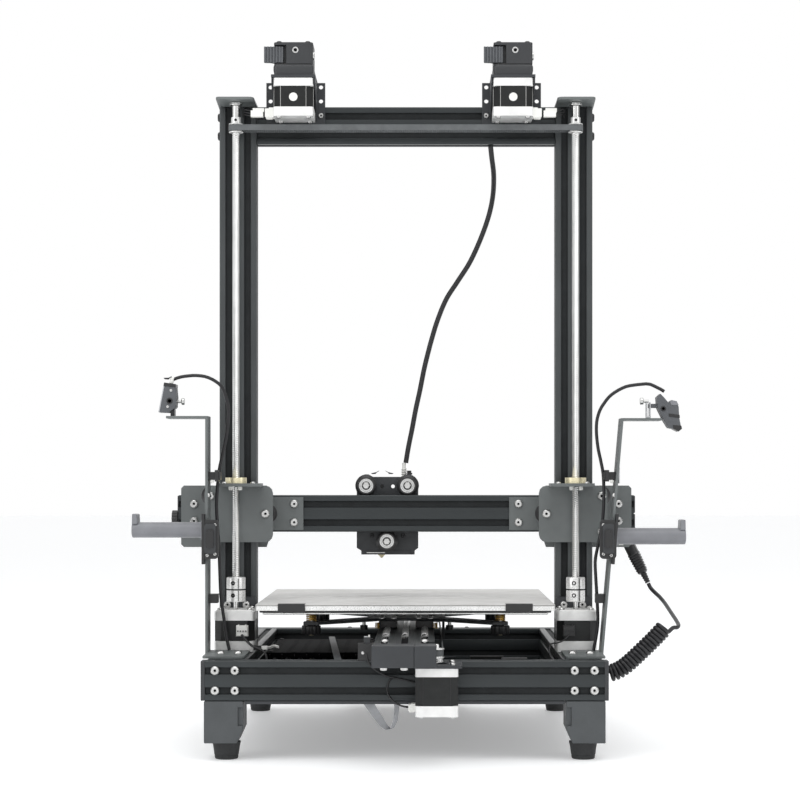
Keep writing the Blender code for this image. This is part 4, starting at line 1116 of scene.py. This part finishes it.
def make_feeders():
    """Each feeder's motor, two-tier housing, ridged lever and screws."""
    for name, x in (("left", -118.0), ("right", 113.0)):
        shape = Shape()
        # The feeder motor's core edges carry the painted highlight.
        motor(shape, "XY", x, 123.15, 663.5, 703.4, (9.6, 8.4), (True, False), CORE_EDGE_HIGHLIGHT)
        out = SIDES[name]
        connector(shape, (x + out * 21, 117, 668.6), (out, 0, 0), (0, -out, 0), 11, 10.5, 9.5)
        plug_x = x + out * 39
        shape.block(plug_x - 6.5, plug_x + 6.5, 112, 119, 664.2, 670.8, NYLON)
        shape.block(plug_x - 4.5, plug_x + 7.5, 113, 118, 669, 673.4, NYLON)
        for lift in (665.6, 668.2, 671):
            wire = [(x + out * 30, 116, lift - 1.5), (x + out * 33, 115.4, lift - 2.6)]
            shape.tube(wire, 0.7, WIRE, 6)
            wire = [(plug_x + out * 6, 115, lift), (plug_x + out * 11, 118, lift + 1.2),
                    (plug_x + out * 15, 124, lift + 2.8), (plug_x + out * 17, 134, lift + 1.5)]
            shape.tube(smooth_route(wire, 2), 0.75, WIRE, 6)
        shape.turned((x, 102.5, 683.4), NEAR, [(4.5, -0.3), (4.5, 0.15), (4.2, 0.2)], NYLON, count=28)
        made = shape.make(f"feeder_motor_{name}", "frame")
        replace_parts(made, f"extruder_motor_{name}")

        shape = Shape()
        for dx in (-27, 27):
            shape.bolt((x + dx, 144.8, 671), NEAR, 3.1, 2.2, SILVER, 1.5)
        shape.make(f"feeder_screws_{name}", "frame", bevel=0)

        shape = Shape()
        left, right = x - 20.5, x + 20.5
        lower = rounded(left, right, 103.2, 143.5, 4.0)
        swell = rounded(left - 0.6, right + 0.6, 102.7, 144, 4.4)
        shape.skin([[(a, b, z) for a, b in ring] for ring, z in (
            (lower, 707.1), (lower, 709), (swell, 711.5), (swell, 715.4), (lower, 717.2), (lower, 717.6))],
            MOULDED)
        shape.prism("XY", rounded(left + 0.5, right - 0.5, 103.8, 143, 3.6), 717.4, 718.6, HARD_BLACK)
        recess = [(x - 7.4, 109.5), (left, 109.5)] + arc(left + 3, 140.5, 3, 180, 90, 4)
        recess += arc(right - 3, 140.5, 3, 90, 0, 4) + arc(right - 4, 107.2, 4, 0, -90, 5)
        recess += [(x - 7.4, 103.2), (x - 7.4, 109.5)]
        shape.prism("XY", recess, 718.4, 738.2, MOULDED)
        shape.prism("XY", rounded(left, right, 103.2, 143.5, 4.0), 738, 741, MOULDED)
        made = shape.make(f"feeder_housing_{name}", "frame", bevel=0.7, segments=3)
        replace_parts(made, f"extruder_body_{name}")
        shape = Shape()
        shape.turned((x + 2.2, 103.3, 732.6), NEAR, [(3.3, -0.6), (3.3, 0.7), (2.9, 1.0), (1.9, 1.0),
                                                        (1.6, 0.2)], SILVER, count=28)
        # The bore is a dark disc: painted shade.
        shape.turned((x + 2.2, 102.6, 732.6), NEAR, [(1.5, -0.4), (1.5, 0.06)], PAINTED_SHADE_BLACK, count=16)
        for dx, dy in ((-15, 107.5), (15, 107.5), (-15, 139), (15, 139)):
            shape.bolt((x + dx, dy, 740.9), UP, 2.9, 1.6, DARK_STEEL, 1.2)
        shape.turned((x + 8, 123, 740.8), UP, [(5.2, 0), (5.2, 1.4), (4.9, 1.8)], BRASS, count=28)
        shape.turned((x + 21, 112, 728), RIGHT,
                     [(4.4, -1), (4.4, 0.6), (3.8, 1.0), (2.1, 1.0), (2.0, 0)], SILVER, count=28)
        shape.make(f"feeder_fittings_{name}", "frame", bevel=0.15)

        shape = Shape()
        ridges = [(x - 30.4, 107.6), (x - 30.9, 104.6)]
        for i in range(6):
            start = x - 30.6 + 3.1 * i
            ridges += [(start, 103.6), (start + 1.5, 103.6), (start + 1.9, 104.7), (start + 2.7, 104.7)]
        lever = ridges + [(x - 11, 104), (x - 10.4, 106.4), (x - 15, 107.2), (x - 15, 138)]
        lever += arc(x - 17.5, 139, 2.5, 20, 160, 7) + [(x - 20, 138), (x - 20, 112), (x - 24, 108.6)]
        shape.prism("XY", lever, 719.7, 736.5, MOULDED_GREY)
        shape.turned((x - 17.5, 139, 0), UP, [(2.1, 718.9), (2.1, 737.4)], STEEL, count=20)
        made = shape.make(f"release_lever_{name}", f"lever_{name}", bevel=0.3)
        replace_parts(made, f"extruder_lever_{name}")


def make_holders():
    """Spool arms with their mounts, filament sensors and the clips on the bent strips."""
    for name, side in SIDES.items():
        foot, top, level = {"left": (205.75, 205.75, 346), "right": (203.6, 224.5, 343.8)}[name]

        def strip_x(z, foot=foot, top=top, level=level):
            return foot + (top - foot) * (z - 101.6) / (level - 101.6)

        low, high, tip = {"left": (221, 237, 284), "right": (214, 231, 291)}[name]
        outer, middle = strip_x(220) + 4.5, (low + high) / 2
        arm = Shape()
        bar = [(98, low + 1.5), (98, high - 1.5), (96.5, high)]
        bar += arc(82, middle, (high - low) / 2, 90, 270, 15) + [(96.5, low)]
        arm.prism("YZ", bar, side * (outer - 1), side * tip, ARM_GREY)
        lip = [(tip - 6.2, high - 2), (tip - 5.6, high + 8.6), (tip - 0.5, high + 9), (tip - 0.2, high - 2)]
        arm.prism("XZ", mirrored(lip, side), 75, 97.5, ARM_GREY)
        flange = [(outer - 2, low - 2.5), (outer + 1.6, low - 2), (outer + 1.6, high + 2),
                  (outer - 2, high + 2.5)]
        arm.prism("XZ", mirrored(flange, side), 72, 99.4, ARM_GREY)
        made = arm.make(f"spool_holder_{name}", "frame", bevel=1.0, segments=3)
        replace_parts(made, f"spool_arm_{name}")

        mount = Shape()
        x0, x1 = strip_x(220) - 13, outer - 0.4
        cheek = rounded(x0, x1, 199.5, 240, 4.0)
        mount.prism("XZ", mirrored(cheek, side), 65, 69.4, HARD_BLACK)
        mount.prism("XZ", mirrored(rounded(x0 + 2.5, x1 - 2.5, 205, 236, 3), side), 62.6, 65.2, MOULDED)
        mount.prism("XZ", mirrored(rounded(x0 + 5, x1 - 4.5, 211, 230, 2), side), 60.8, 62.8, HARD_BLACK)
        plate = [(strip_x(246) + 1.6, 246), (strip_x(246) + 4.4, 246), (strip_x(194) + 4.4, 194),
                 (strip_x(194) + 1.6, 194)]
        mount.prism("XZ", mirrored(plate, side), 64, 99, HARD_BLACK)
        for dx, z in ((2.6, 234.5), (2.6, 204.6), (10.6, 203.2)):
            mount.bolt((side * (x0 + dx + 1), 65, z), NEAR, 1.9, 1.2, SILVER, 0.8)
        mount.make(f"arm_mount_{name}", "frame", bevel=0.5)

        shape = Shape()
        for dx in (172, 190):
            shape.bolt((side * dx, 60, 102.6), UP, 4.2, 2.3, SILVER, 1.9)
        shape.make(f"strip_base_screws_{name}", "frame", bevel=0)
        shape = Shape()
        shape.bolt((side * (strip_x(265) - 1.2), 76, 265), (-side, 0, 0), 2.8, 1.8, SILVER, 1.1)
        for level in (207, 236):
            shape.bolt((side * (strip_x(level) - 1.2), 90, level), (-side, 0, 0), 3.0, 2.0, SILVER, 1.3)
        shape.make(f"strip_screws_{name}", "frame", bevel=0)

        shape = Shape()
        inner = strip_x(284) - 1.3
        shape.block(*sorted((side * (inner - 12.4), side * inner)), 78, 92, 281, 289.4, HARD_BLACK)
        shape.block(*sorted((side * (inner - 10.4), side * (inner - 6.6))), 76.6, 93, 279.4, 291.4,
                    HARD_BLACK)
        shape.turned((side * (inner - 3.6), 78.1, 279.4), NEAR, [(1.9, -2), (1.9, 0.8), (1.5, 1.1)],
                     NYLON, count=16)
        inner = strip_x(157.6) - 1.3
        shape.block(*sorted((side * (inner - 9.4), side * inner)), 80, 94, 153, 162.4, HARD_BLACK)
        if side > 0:
            shape.block(strip_x(286) + 1.3, strip_x(286) + 2.6, 72, 84, 277.5, 294, ZINC)
            shape.block(221.4, 226.4, 80, 88, 213.3, 219.5, NYLON)
        shape.make(f"cable_clips_{name}", "frame", bevel=0.5)

    shape = Shape()
    case = [(-250, 381.7), (-238.6, 380), (-237.4, 367), (-238.2, 356.5), (-245.4, 350.8), (-255.8, 351.2)]
    shape.prism("XZ", case, 76, 94, MOULDED_GREY)
    shape.prism("XZ", [(-250.2, 382.2), (-238.2, 380.5), (-238, 377), (-250.9, 378.4)], 75.4, 94.6,
                HARD_BLACK)
    shape.prism("XZ", [(-256.2, 351.4), (-250.4, 381.6), (-249.4, 381.4), (-254.9, 351.4)], 75.6, 94.4,
                RIBBON)
    shape.turned((-244.6, 76.1, 363), NEAR, [(3.3, -0.2), (3.3, 0.5), (2.5, 0.7), (2.2, 0.1)],
                 HARD_BLACK)
    shape.block(-244, -239.8, 79, 91, 347.4, 354.4, DARK_STEEL)
    shape.turned((-238, 85, 362.7), RIGHT,
                 [(1.7, -1), (1.7, 4.6), (3.4, 5), (3.6, 5.6), (3.6, 7.6), (3.2, 8)], SILVER)
    for x, z in ((-246.6, 357), (-243, 374)):
        shape.turned((x, 76.1, z), NEAR, [(1.5, -0.3), (1.5, 0.5), (1.1, 0.7)], SILVER, count=14)
    shape.turned((-244, 86, 382), (0.3, 0.1, 1), [(2.1, -0.5), (2.1, 5.5), (1.9, 6)], NYLON, count=16)
    hook = [(-252, 387.4), (-246.5, 387.6), (-243, 389.4), (-246.6, 385.6), (-250.6, 385.8)]
    shape.prism("XZ", hook, 84, 86, HARD_BLACK)
    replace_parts(shape.make("runout_switch_left", "frame", bevel=0.5),
                "filament_sensor_left")

    shape = Shape()
    shell = [(260.8, 367), (264.5, 370.6), (268.7, 366.2), (272.9, 361.2), (276, 363.3), (281, 362.3),
             (283.5, 357), (284.1, 345.4), (286.4, 334), (283.2, 331.6), (278, 334.2), (273, 335.2),
             (267.9, 343.3), (261.8, 355.8)]
    shape.prism("XZ", shell, 76, 94, MOULDED_GREY)
    shape.prism("XZ", [(274.6, 362.8), (276, 364), (281.4, 362.8), (283.4, 358.6), (275.4, 358.8)],
                75.5, 94.5, ARM_GREY)
    shape.prism("XZ", [(273, 350), (284.4, 348.6), (284.7, 345.2), (273.2, 346.6)], 75.5, 94.5, HARD_BLACK)
    shape.prism("XZ", [(278, 333.9), (283.3, 331.2), (286.9, 334.1), (286.2, 337.4), (277.2, 338)],
                75.5, 94.5, HARD_BLACK)
    shape.turned((267.5, 76.1, 355), NEAR, [(2.8, -0.2), (2.8, 0.5), (2.1, 0.7), (1.9, 0.1)],
                 HARD_BLACK)
    shape.block(253, 262.4, 80, 90, 356, 360.2, MOULDED_GREY)
    shape.block(250.4, 251.4, 79, 91, 345.4, 361.8, ZINC)
    shape.block(253.6, 254.8, 79, 91, 345.4, 361.8, ZINC)
    shape.block(251.2, 254, 79, 91, 345.4, 347, ZINC)
    shape.turned((252, 85, 363), LEFT,
                 [(1.7, -1), (1.7, 4), (3.4, 4.4), (3.6, 5), (3.6, 7.4), (3.2, 7.9)], SILVER)
    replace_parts(shape.make("runout_switch_right", "frame", bevel=0.5),
                "filament_sensor_right")


# ---------------------------------------------------------------- bed, gantry and head

def make_bed():
    """Build sheet on its plate, clips, foil, levelling springs, knobs, shoes and terminal."""
    y = 220.0
    shape = Shape()
    shape.prism("XY", rounded(-155, 155, y - 155, y + 155, 3), 151.3, 152.0, SHEET)
    made = shape.make("build_surface", "bed", bevel=0.25)
    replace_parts(made, "heated_bed")
    shape = Shape()
    shape.prism("XY", rounded(-154.2, 154.2, y - 154.2, y + 154.2, 3), 150.8, 151.4, HARD_BLACK)
    shape.prism("XY", rounded(-154.8, 154.8, y - 154.8, y + 154.8, 3), 146.0, 150.9, ALUMINIUM)
    shape.prism("XY", rounded(-151, 151, y - 151, y + 151, 3), 143.8, 146.1, HARD_BLACK)
    shape.make("bed_plate", "bed", bevel=0.2)
    shape = Shape()
    shape.prism("XY", rounded(-148, 148, y - 148, y + 148, 2), 141.7, 143.9, FOIL)
    shape.make("bed_insulation", "bed", bevel=0.8)

    shape = Shape()
    for side in (-1, 1):
        x0, x1 = sorted((side * 103.5, side * 131.5))
        profile = [(-0.9, 144.9), (-0.9, 152.6), (10, 152.6), (10.4, 153.3), (-1.5, 153.3), (-1.5, 144.4),
                   (7, 144.4), (7, 145)]
        shape.prism("YZ", [(y - 155 + b, z) for b, z in profile], x0, x1, HARD_BLACK)
    shape.make("sheet_clips", "bed", bevel=0.15)

    for near, edge in (("near", y - 100), ("far", y + 100)):
        for name, side in SIDES.items():
            x = side * 100
            spring = Shape()
            spring_coil(spring, x, edge, 131.1, 141.7, 4.9, 0.75, 5, SPRING)
            spring.turned((x, edge, 131), UP, [(6.2, 0), (6.2, 0.7)], HARD_BLACK)
            spring.make(f"levelling_spring_{near}_{name}", "bed", bevel=0)
            knob = Shape()
            flutes = fluted(9.5, 0.55, 12)
            slim = [(a * 0.93, b * 0.93) for a, b in flutes]
            knob.rings((x, edge, 0), UP,
                       [(slim, 117.6), (flutes, 118.6), (flutes, 126.4), (slim, 127.2)], HARD_BLACK)
            knob.turned((x, edge, 0), UP, [(4.6, 127), (4.4, 127.6), (2, 127.7), (2, 141)], SILVER)
            knob.turned((x, edge, 0), UP, [(3.2, 117.7), (3.2, 116.9), (2.4, 116.6)], BRASS)
            made = knob.make(f"bed_knob_{near}_{name}", f"knob_{near}_{name}", bevel=0.2)
            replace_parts(made, f"levelling_knob_{near}_{name}")

    shape = Shape()
    for x in (-20.0, 20.0):
        for dy in (-35, 35):
            shape.block(x - 9.6, x + 9.6, y + dy - 16, y + dy + 16, 121.4, 128.2, HARD_BLACK)
            for sx in (-6.5, 6.5):
                shape.bolt((x + sx, y + dy - 11, 130.9), UP, 2.9, 1.8, SILVER, 1.2)
                shape.bolt((x + sx, y + dy + 11, 130.9), UP, 2.9, 1.8, SILVER, 1.2)
    for x in (-46.2, 47.2):
        shape.turned((x, y - 35, 0), UP, [(3.4, 117.6), (4.2, 118), (4.2, 122.6), (3.4, 123)],
                     HARD_BLACK)
        shape.turned((x, y - 35, 0), UP, [(2, 122), (2, 128.1)], SILVER)
    for x in (-31, 31.4):
        spring_coil(shape, x, y - 62, 120.6, 128, 2.3, 0.5, 5, SPRING)
    shape.make("bed_shoes", "bed", bevel=0.3)

    shape = Shape()
    shape.block(-16, 16, y + 146, y + 153, 139.5, 146.4, HARD_BLACK)
    shape.make("bed_terminal", "bed", bevel=0.4)


GUIDE_ROLLERS = ((150, 245), (209, 264), (209, 226))


def make_gantry():
    """Screws, nuts, rollers, end caps, belt and idler of the lifting beam."""
    for name, side in SIDES.items():
        shape = Shape()
        for x, z in ((122, 255), (122, 235), (231, 255), (231, 236.4)):
            shape.bolt((side * x, 180.7, z), NEAR, 4.7, 2.6, SILVER, 2.0)
        for x, z in GUIDE_ROLLERS:
            shape.bolt((side * x, 138, z), NEAR, 4.9, 2.8, SILVER, 2.1)
            shape.turned((side * x, 0, z), FAR, [(4.2, 141), (4.2, 151.5)], ALUMINIUM)
            shape.turned((side * x, 0, z), FAR, [(4.2, 164.6), (4.2, 180.8)], ALUMINIUM)
        for dx in (-5, 5):
            shape.turned((side * (180 + dx), 116.4, 0), UP, [(1.6, 270.2), (2.3, 271), (2.3, 274.2)],
                         NYLON)
        for x in (161, 191):
            shape.bolt((side * x, 110.5, 277.5), UP, 2.6, 1.6, SILVER, 1.1)
        shape.make(f"gantry_screws_{name}", "gantry", bevel=0)

        nut = Shape()
        x = side * SCREW_X
        nut.plate("XY", circle(x, SCREW_Y, 11.3, 40), [circle(x, SCREW_Y, 4.35)], 277.4, 283.6, BRASS)
        nut.make(f"screw_nut_{name}", "gantry", bevel=0.15)

        rollers = Shape()
        for x, z in GUIDE_ROLLERS:
            profile = [(3.2, 152.6), (8.6, 152.6), (11.2, 155.2), (11.2, 160.8), (8.6, 163.4), (3.2, 163.4)]
            rollers.turned((side * x, 0, z), FAR, profile, HARD_BLACK, count=32)
            for start, end in ((151.9, 152.8), (163.2, 164.1)):
                rollers.turned((side * x, 0, z), FAR, [(6.9, start), (6.9, end)], STEEL, count=28)
        rollers.make(f"guide_rollers_{name}", "gantry", bevel=0.25)

    shape = Shape()
    for side in (-1, 1):
        for z in (234.5, 254.5):
            outline = rounded(184.6, 203.4, z - 9.4, z + 9.4, 1.6)
            shape.prism("YZ", outline, side * 247.9, side * 249.4, MOULDED)
    flutes = fluted(8.6, 0.4, 16)
    shape.rings((-249, 190, 239), LEFT, [(flutes, 0.2), (flutes, 6.6)], HARD_BLACK)
    shape.make("gantry_end_caps", "gantry", bevel=0.4)

    shape = Shape()
    shape.turned((230, 0, 244.5), FAR,
                 [(7.4, 205.2), (7.4, 206.1), (5.6, 206.2), (5.6, 212.4), (7.4, 212.5), (7.4, 213.4)],
                 ALUMINIUM, count=32)
    shape.block(216, 247, 204.2, 205.4, 233, 256, PLATE_DARK)
    shape.turned((230, 0, 244.5), FAR, [(2.4, 204.6), (2.4, 216)], SILVER)
    shape.make("belt_idler", "gantry", bevel=0.2)
    made = belt_loop("head_belt", "XZ", ((-227, 244.5), (230, 244.5)), 5.6, 209.4, 1.3, 5.6, None)
    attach(made, "gantry")


def make_head():
    """Three wheels with their bolts, the head plate's screws, and the shroud, fan and inlets."""
    wheels = {"upper_left": (-44, 274.8), "upper_right": (1.2, 274.8), "lower": (-21.4, 214)}
    for name, (x, z) in wheels.items():
        wheel = Shape()
        profile = [(7.9, -4.1), (9.2, -4.1), (11.9, -1.5), (11.9, 1.5), (9.2, 4.1), (7.9, 4.1)]
        wheel.turned((x, 194, z), FAR, profile, HARD_BLACK, closed=True, count=48)
        for depth, out in ((-3.5, -1), (3.5, 1)):
            face = (x, 194 + depth, z)
            wheel.turned(face, (0, out, 0), [(7.95, -3), (7.95, 0.2), (7.6, 0.4), (6.5, 0.4), (6.4, 0.1)],
                         SILVER, count=36)
            wheel.turned(face, (0, out, 0), [(6.45, -0.4), (6.45, 0.15)], ZINC, count=36)
            wheel.turned(face, (0, out, 0), [(5.9, -0.3), (5.9, 0.3), (5.2, 0.35)], SILVER, count=36)
        made = wheel.make(f"head_wheel_{name}", f"wheel_{name}", bevel=0.15)
        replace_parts(made, f"x_wheel_{name}")
        bolt = Shape()
        # A dark disc shows as a ring round the bolt head: painted shade in the gap.
        bolt.turned((x, 190.3, z), NEAR, [(4.7, -1), (4.7, 0.2)], DARK_STEEL, count=28)
        bolt.turned((x, 190.1, z), NEAR, [(4.2, -0.5), (4.2, 2.3), (3.4, 3.2), (1.0, 3.4)], SILVER,
                    count=6)
        bolt.turned((x, 0, z), FAR, [(2.55, 189), (2.55, 199.5), (4.2, 199.6), (4.2, 214)], SILVER)
        bolt.hex_head((x, 217, z), FAR, 4.4, 3.6, SILVER)
        bolt.make(f"wheel_bolt_{name}", "head", bevel=0)

    shape = Shape()
    for x, out in ((-35, -1), (-18.6, 1)):
        wing = [(x - 4.4 * out, 290.9), (x - 3.7 * out, 290.2), (x + 4.4 * out, 288.4), (x + 3 * out, 287.5),
                (x - out, 287.7), (x - 1.8 * out, 289)]
        shape.prism("XZ", wing, 214.4, 216.8, PLATE_DARK)
    for x in (-38.1, -3.9):
        shape.bolt((x, 214, 219.7), NEAR, 2.2, 1.4, DARK_STEEL, 1.0)
    shape.block(-46, 4, 212.6, 214.1, 199.5, 202.6, PLATE_DARK)
    shape.block(-44, -24, 212.2, 212.8, 200.4, 201.2, SILVER)
    shape.block(-31, -23, 219.5, 231, 266, 279.5, HARD_BLACK)
    shape.make("head_plate_screws", "head", bevel=0.2)

    x, y = -28.0, 240.0
    shape = Shape()
    shroud = rounded(-50, 8, 219, 252, 3.0)
    shape.prism("XY", shroud, 214, 266, MOULDED)
    shape.prism("XY", rounded(-48, 6, 221, 250, 2.5), 208, 214.2, HARD_BLACK)
    shape.plate("XZ", rounded(-42, 0, 216, 258, 3), [circle(-21, 237, 18.6, 40)], 252, 262, HARD_BLACK)
    shape.turned((-21, 0, 237), FAR, [(9.2, 252.2), (9.2, 260.6), (8.6, 261.2)], HARD_BLACK, count=32)
    for i in range(7):
        start = 2 * math.pi * i / 7
        blade = []
        for reach, turn, lift in ((9, 0, 1.6), (18, 0.35, 1.6), (18, 0.75, 5.4), (9, 0.5, 5.4)):
            angle = start + turn
            blade.append((-21 + reach * math.cos(angle), 237 + reach * math.sin(angle), lift))
        shape.skin([[(a, depth + lift, b) for a, b, lift in blade] for depth in (254, 255)], HARD_BLACK)
    for sx in (-16.5, 16.5):
        for sz in (-16.5, 16.5):
            shape.bolt((-21 + sx, 261.9, 237 + sz), FAR, 2.5, 1.4, DARK_STEEL, 1.0)
    for i in range(7):
        z = 222 + 5.4 * i
        for sx in (-50.2, 8.2):
            shape.block(sx - 0.5, sx + 0.5, 224, 246, z, z + 2.6, HARD_BLACK)
    for dx in (-14, 12):
        profile = [(240, 214), (247, 212), (247, 204), (243, 198.6), (241, 200), (240, 206)]
        shape.prism("YZ", profile, x + dx - 3, x + dx + 3, MOULDED)
    made = shape.make("head_shroud", "head", bevel=0.5)
    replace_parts(made, "hot_end")

    shape = Shape()
    shape.prism("XY", rounded(x - 11, x + 9, y - 9, y + 6, 1.5), 199.4, 208.2, RUBBER)
    shape.turned((x, y, 0), UP, [(0.8, 194), (3.4, 197.2)], BRASS)
    nozzle = hexagon(3.9)
    shape.rings((x, y, 0), UP, [(nozzle, 197.1), (nozzle, 199.6)], BRASS)
    shape.turned((-1, 235, 0), UP, [(5.6, 265.6), (5.6, 270), (4.6, 270.4)], HARD_BLACK)
    points = []
    for i in range(6 * 14 + 1):
        angle = 2 * math.pi * i / 14
        points.append((-3 + 2.6 * math.cos(angle), 235 + 2.6 * math.sin(angle), 279 + 14.5 * i / 84))
    shape.turned((-3, 235, 0), UP, [(2.1, 270), (2.1, 294), (1.9, 296), (2.2, 300)], NYLON)
    shape.tube(points, 0.7, NYLON, 6)
    shape.block(0.4, 5.2, 229, 241, 270, 291.5, HARD_BLACK)
    shape.block(1.2, 6.2, 230, 240, 287, 289, HARD_BLACK)
    shape.turned((-40, 235, 0), UP, [(5, 265.6), (5, 271), (3.4, 271.4), (3.4, 277), (2.2, 277.4)],
                 BRASS)
    shape.make("nozzle_and_inlets", "head", bevel=0.15)


# ---------------------------------------------------------------- stage

def make_stage():
    """Pale floor in a white studio, soft lights and the camera."""
    shape = Shape()
    lit = Finish("floor", (0.80, 0.81, 0.82), 0.6)
    lit.shades(lit.noise(300, 3.0), 0.01)
    lit.between(lit.noise(20, 3.0), 0.55, 0.65, "Roughness")
    lit.shader.inputs["Emission Color"].default_value = (1, 1, 1, 1)
    lit.shader.inputs["Emission Strength"].default_value = 0.30
    shape.block(-FLOOR_REACH, FLOOR_REACH, -FLOOR_REACH, FLOOR_REACH, -6, -0.05, lit.material)
    floor = shape.make("floor", None, bevel=0)

    bpy.context.scene.view_settings.view_transform = "Standard"
    back = bpy.data.worlds.new("studio")
    bpy.context.scene.world = back
    back.use_nodes = True
    tree = back.node_tree
    sky = tree.nodes["Background"]
    sky.inputs["Color"].default_value = (1, 1, 1, 1)
    place_at = tree.nodes.new("ShaderNodeTexCoord")
    parts = tree.nodes.new("ShaderNodeSeparateXYZ")
    size = tree.nodes.new("ShaderNodeMath")
    size.operation = "ABSOLUTE"
    darken = tree.nodes.new("ShaderNodeMapRange")
    for name, value in (("From Min", 0.30), ("From Max", 0.75), ("To Min", 1.0), ("To Max", SIDE_LIGHT)):
        darken.inputs[name].default_value = value
    tree.links.new(place_at.outputs["Generated"], parts.inputs["Vector"])
    tree.links.new(parts.outputs["X"], size.inputs[0])
    tree.links.new(size.outputs["Value"], darken.inputs["Value"])
    tree.links.new(darken.outputs["Result"], sky.inputs["Strength"])

    for name, at, aim, size, watts in LIGHTS:
        data = bpy.data.lights.new(name, "AREA")
        data.shape = "RECTANGLE"
        data.size, data.size_y = size
        data.energy = watts
        lamp = bpy.data.objects.new(name, data)
        lamp.location = at
        lamp.rotation_mode = "QUATERNION"
        lamp.rotation_quaternion = (Vector(aim) - Vector(at)).to_track_quat("-Z", "Y")
        bpy.context.scene.collection.objects.link(lamp)

    data = bpy.data.cameras.new("camera")
    data.lens = 92
    data.sensor_width = 36
    data.shift_x, data.shift_y = -0.03, 0.10
    data.clip_end = 100
    camera = bpy.data.objects.new("camera", data)
    camera.location = (0.0193, -2.259, 0.281)
    camera.rotation_euler = (math.radians(90), 0, 0)
    bpy.context.scene.collection.objects.link(camera)
    bpy.context.scene.camera = camera


FLOOR_REACH = 14000      # mm from the middle, beyond what the camera sees
SIDE_LIGHT = 0.40        # the studio is darker to both sides, which shapes the bright metal
LIGHTS = (
    ("top_softbox", (0.0, -0.6, 2.2), (0, 0, 0.3), (2.4, 2.0), 18),
    ("left_softbox", (-1.8, -1.2, 1.2), (0, 0, 0.35), (1.2, 1.8), 14),
    ("right_softbox", (1.9, -1.0, 1.1), (0, 0, 0.35), (1.0, 1.8), 9),
)

make_motors()
make_screws()
make_frame()
make_base()
make_feeders()
make_holders()
make_bed()
make_gantry()
make_head()
make_stage()
make_cords()
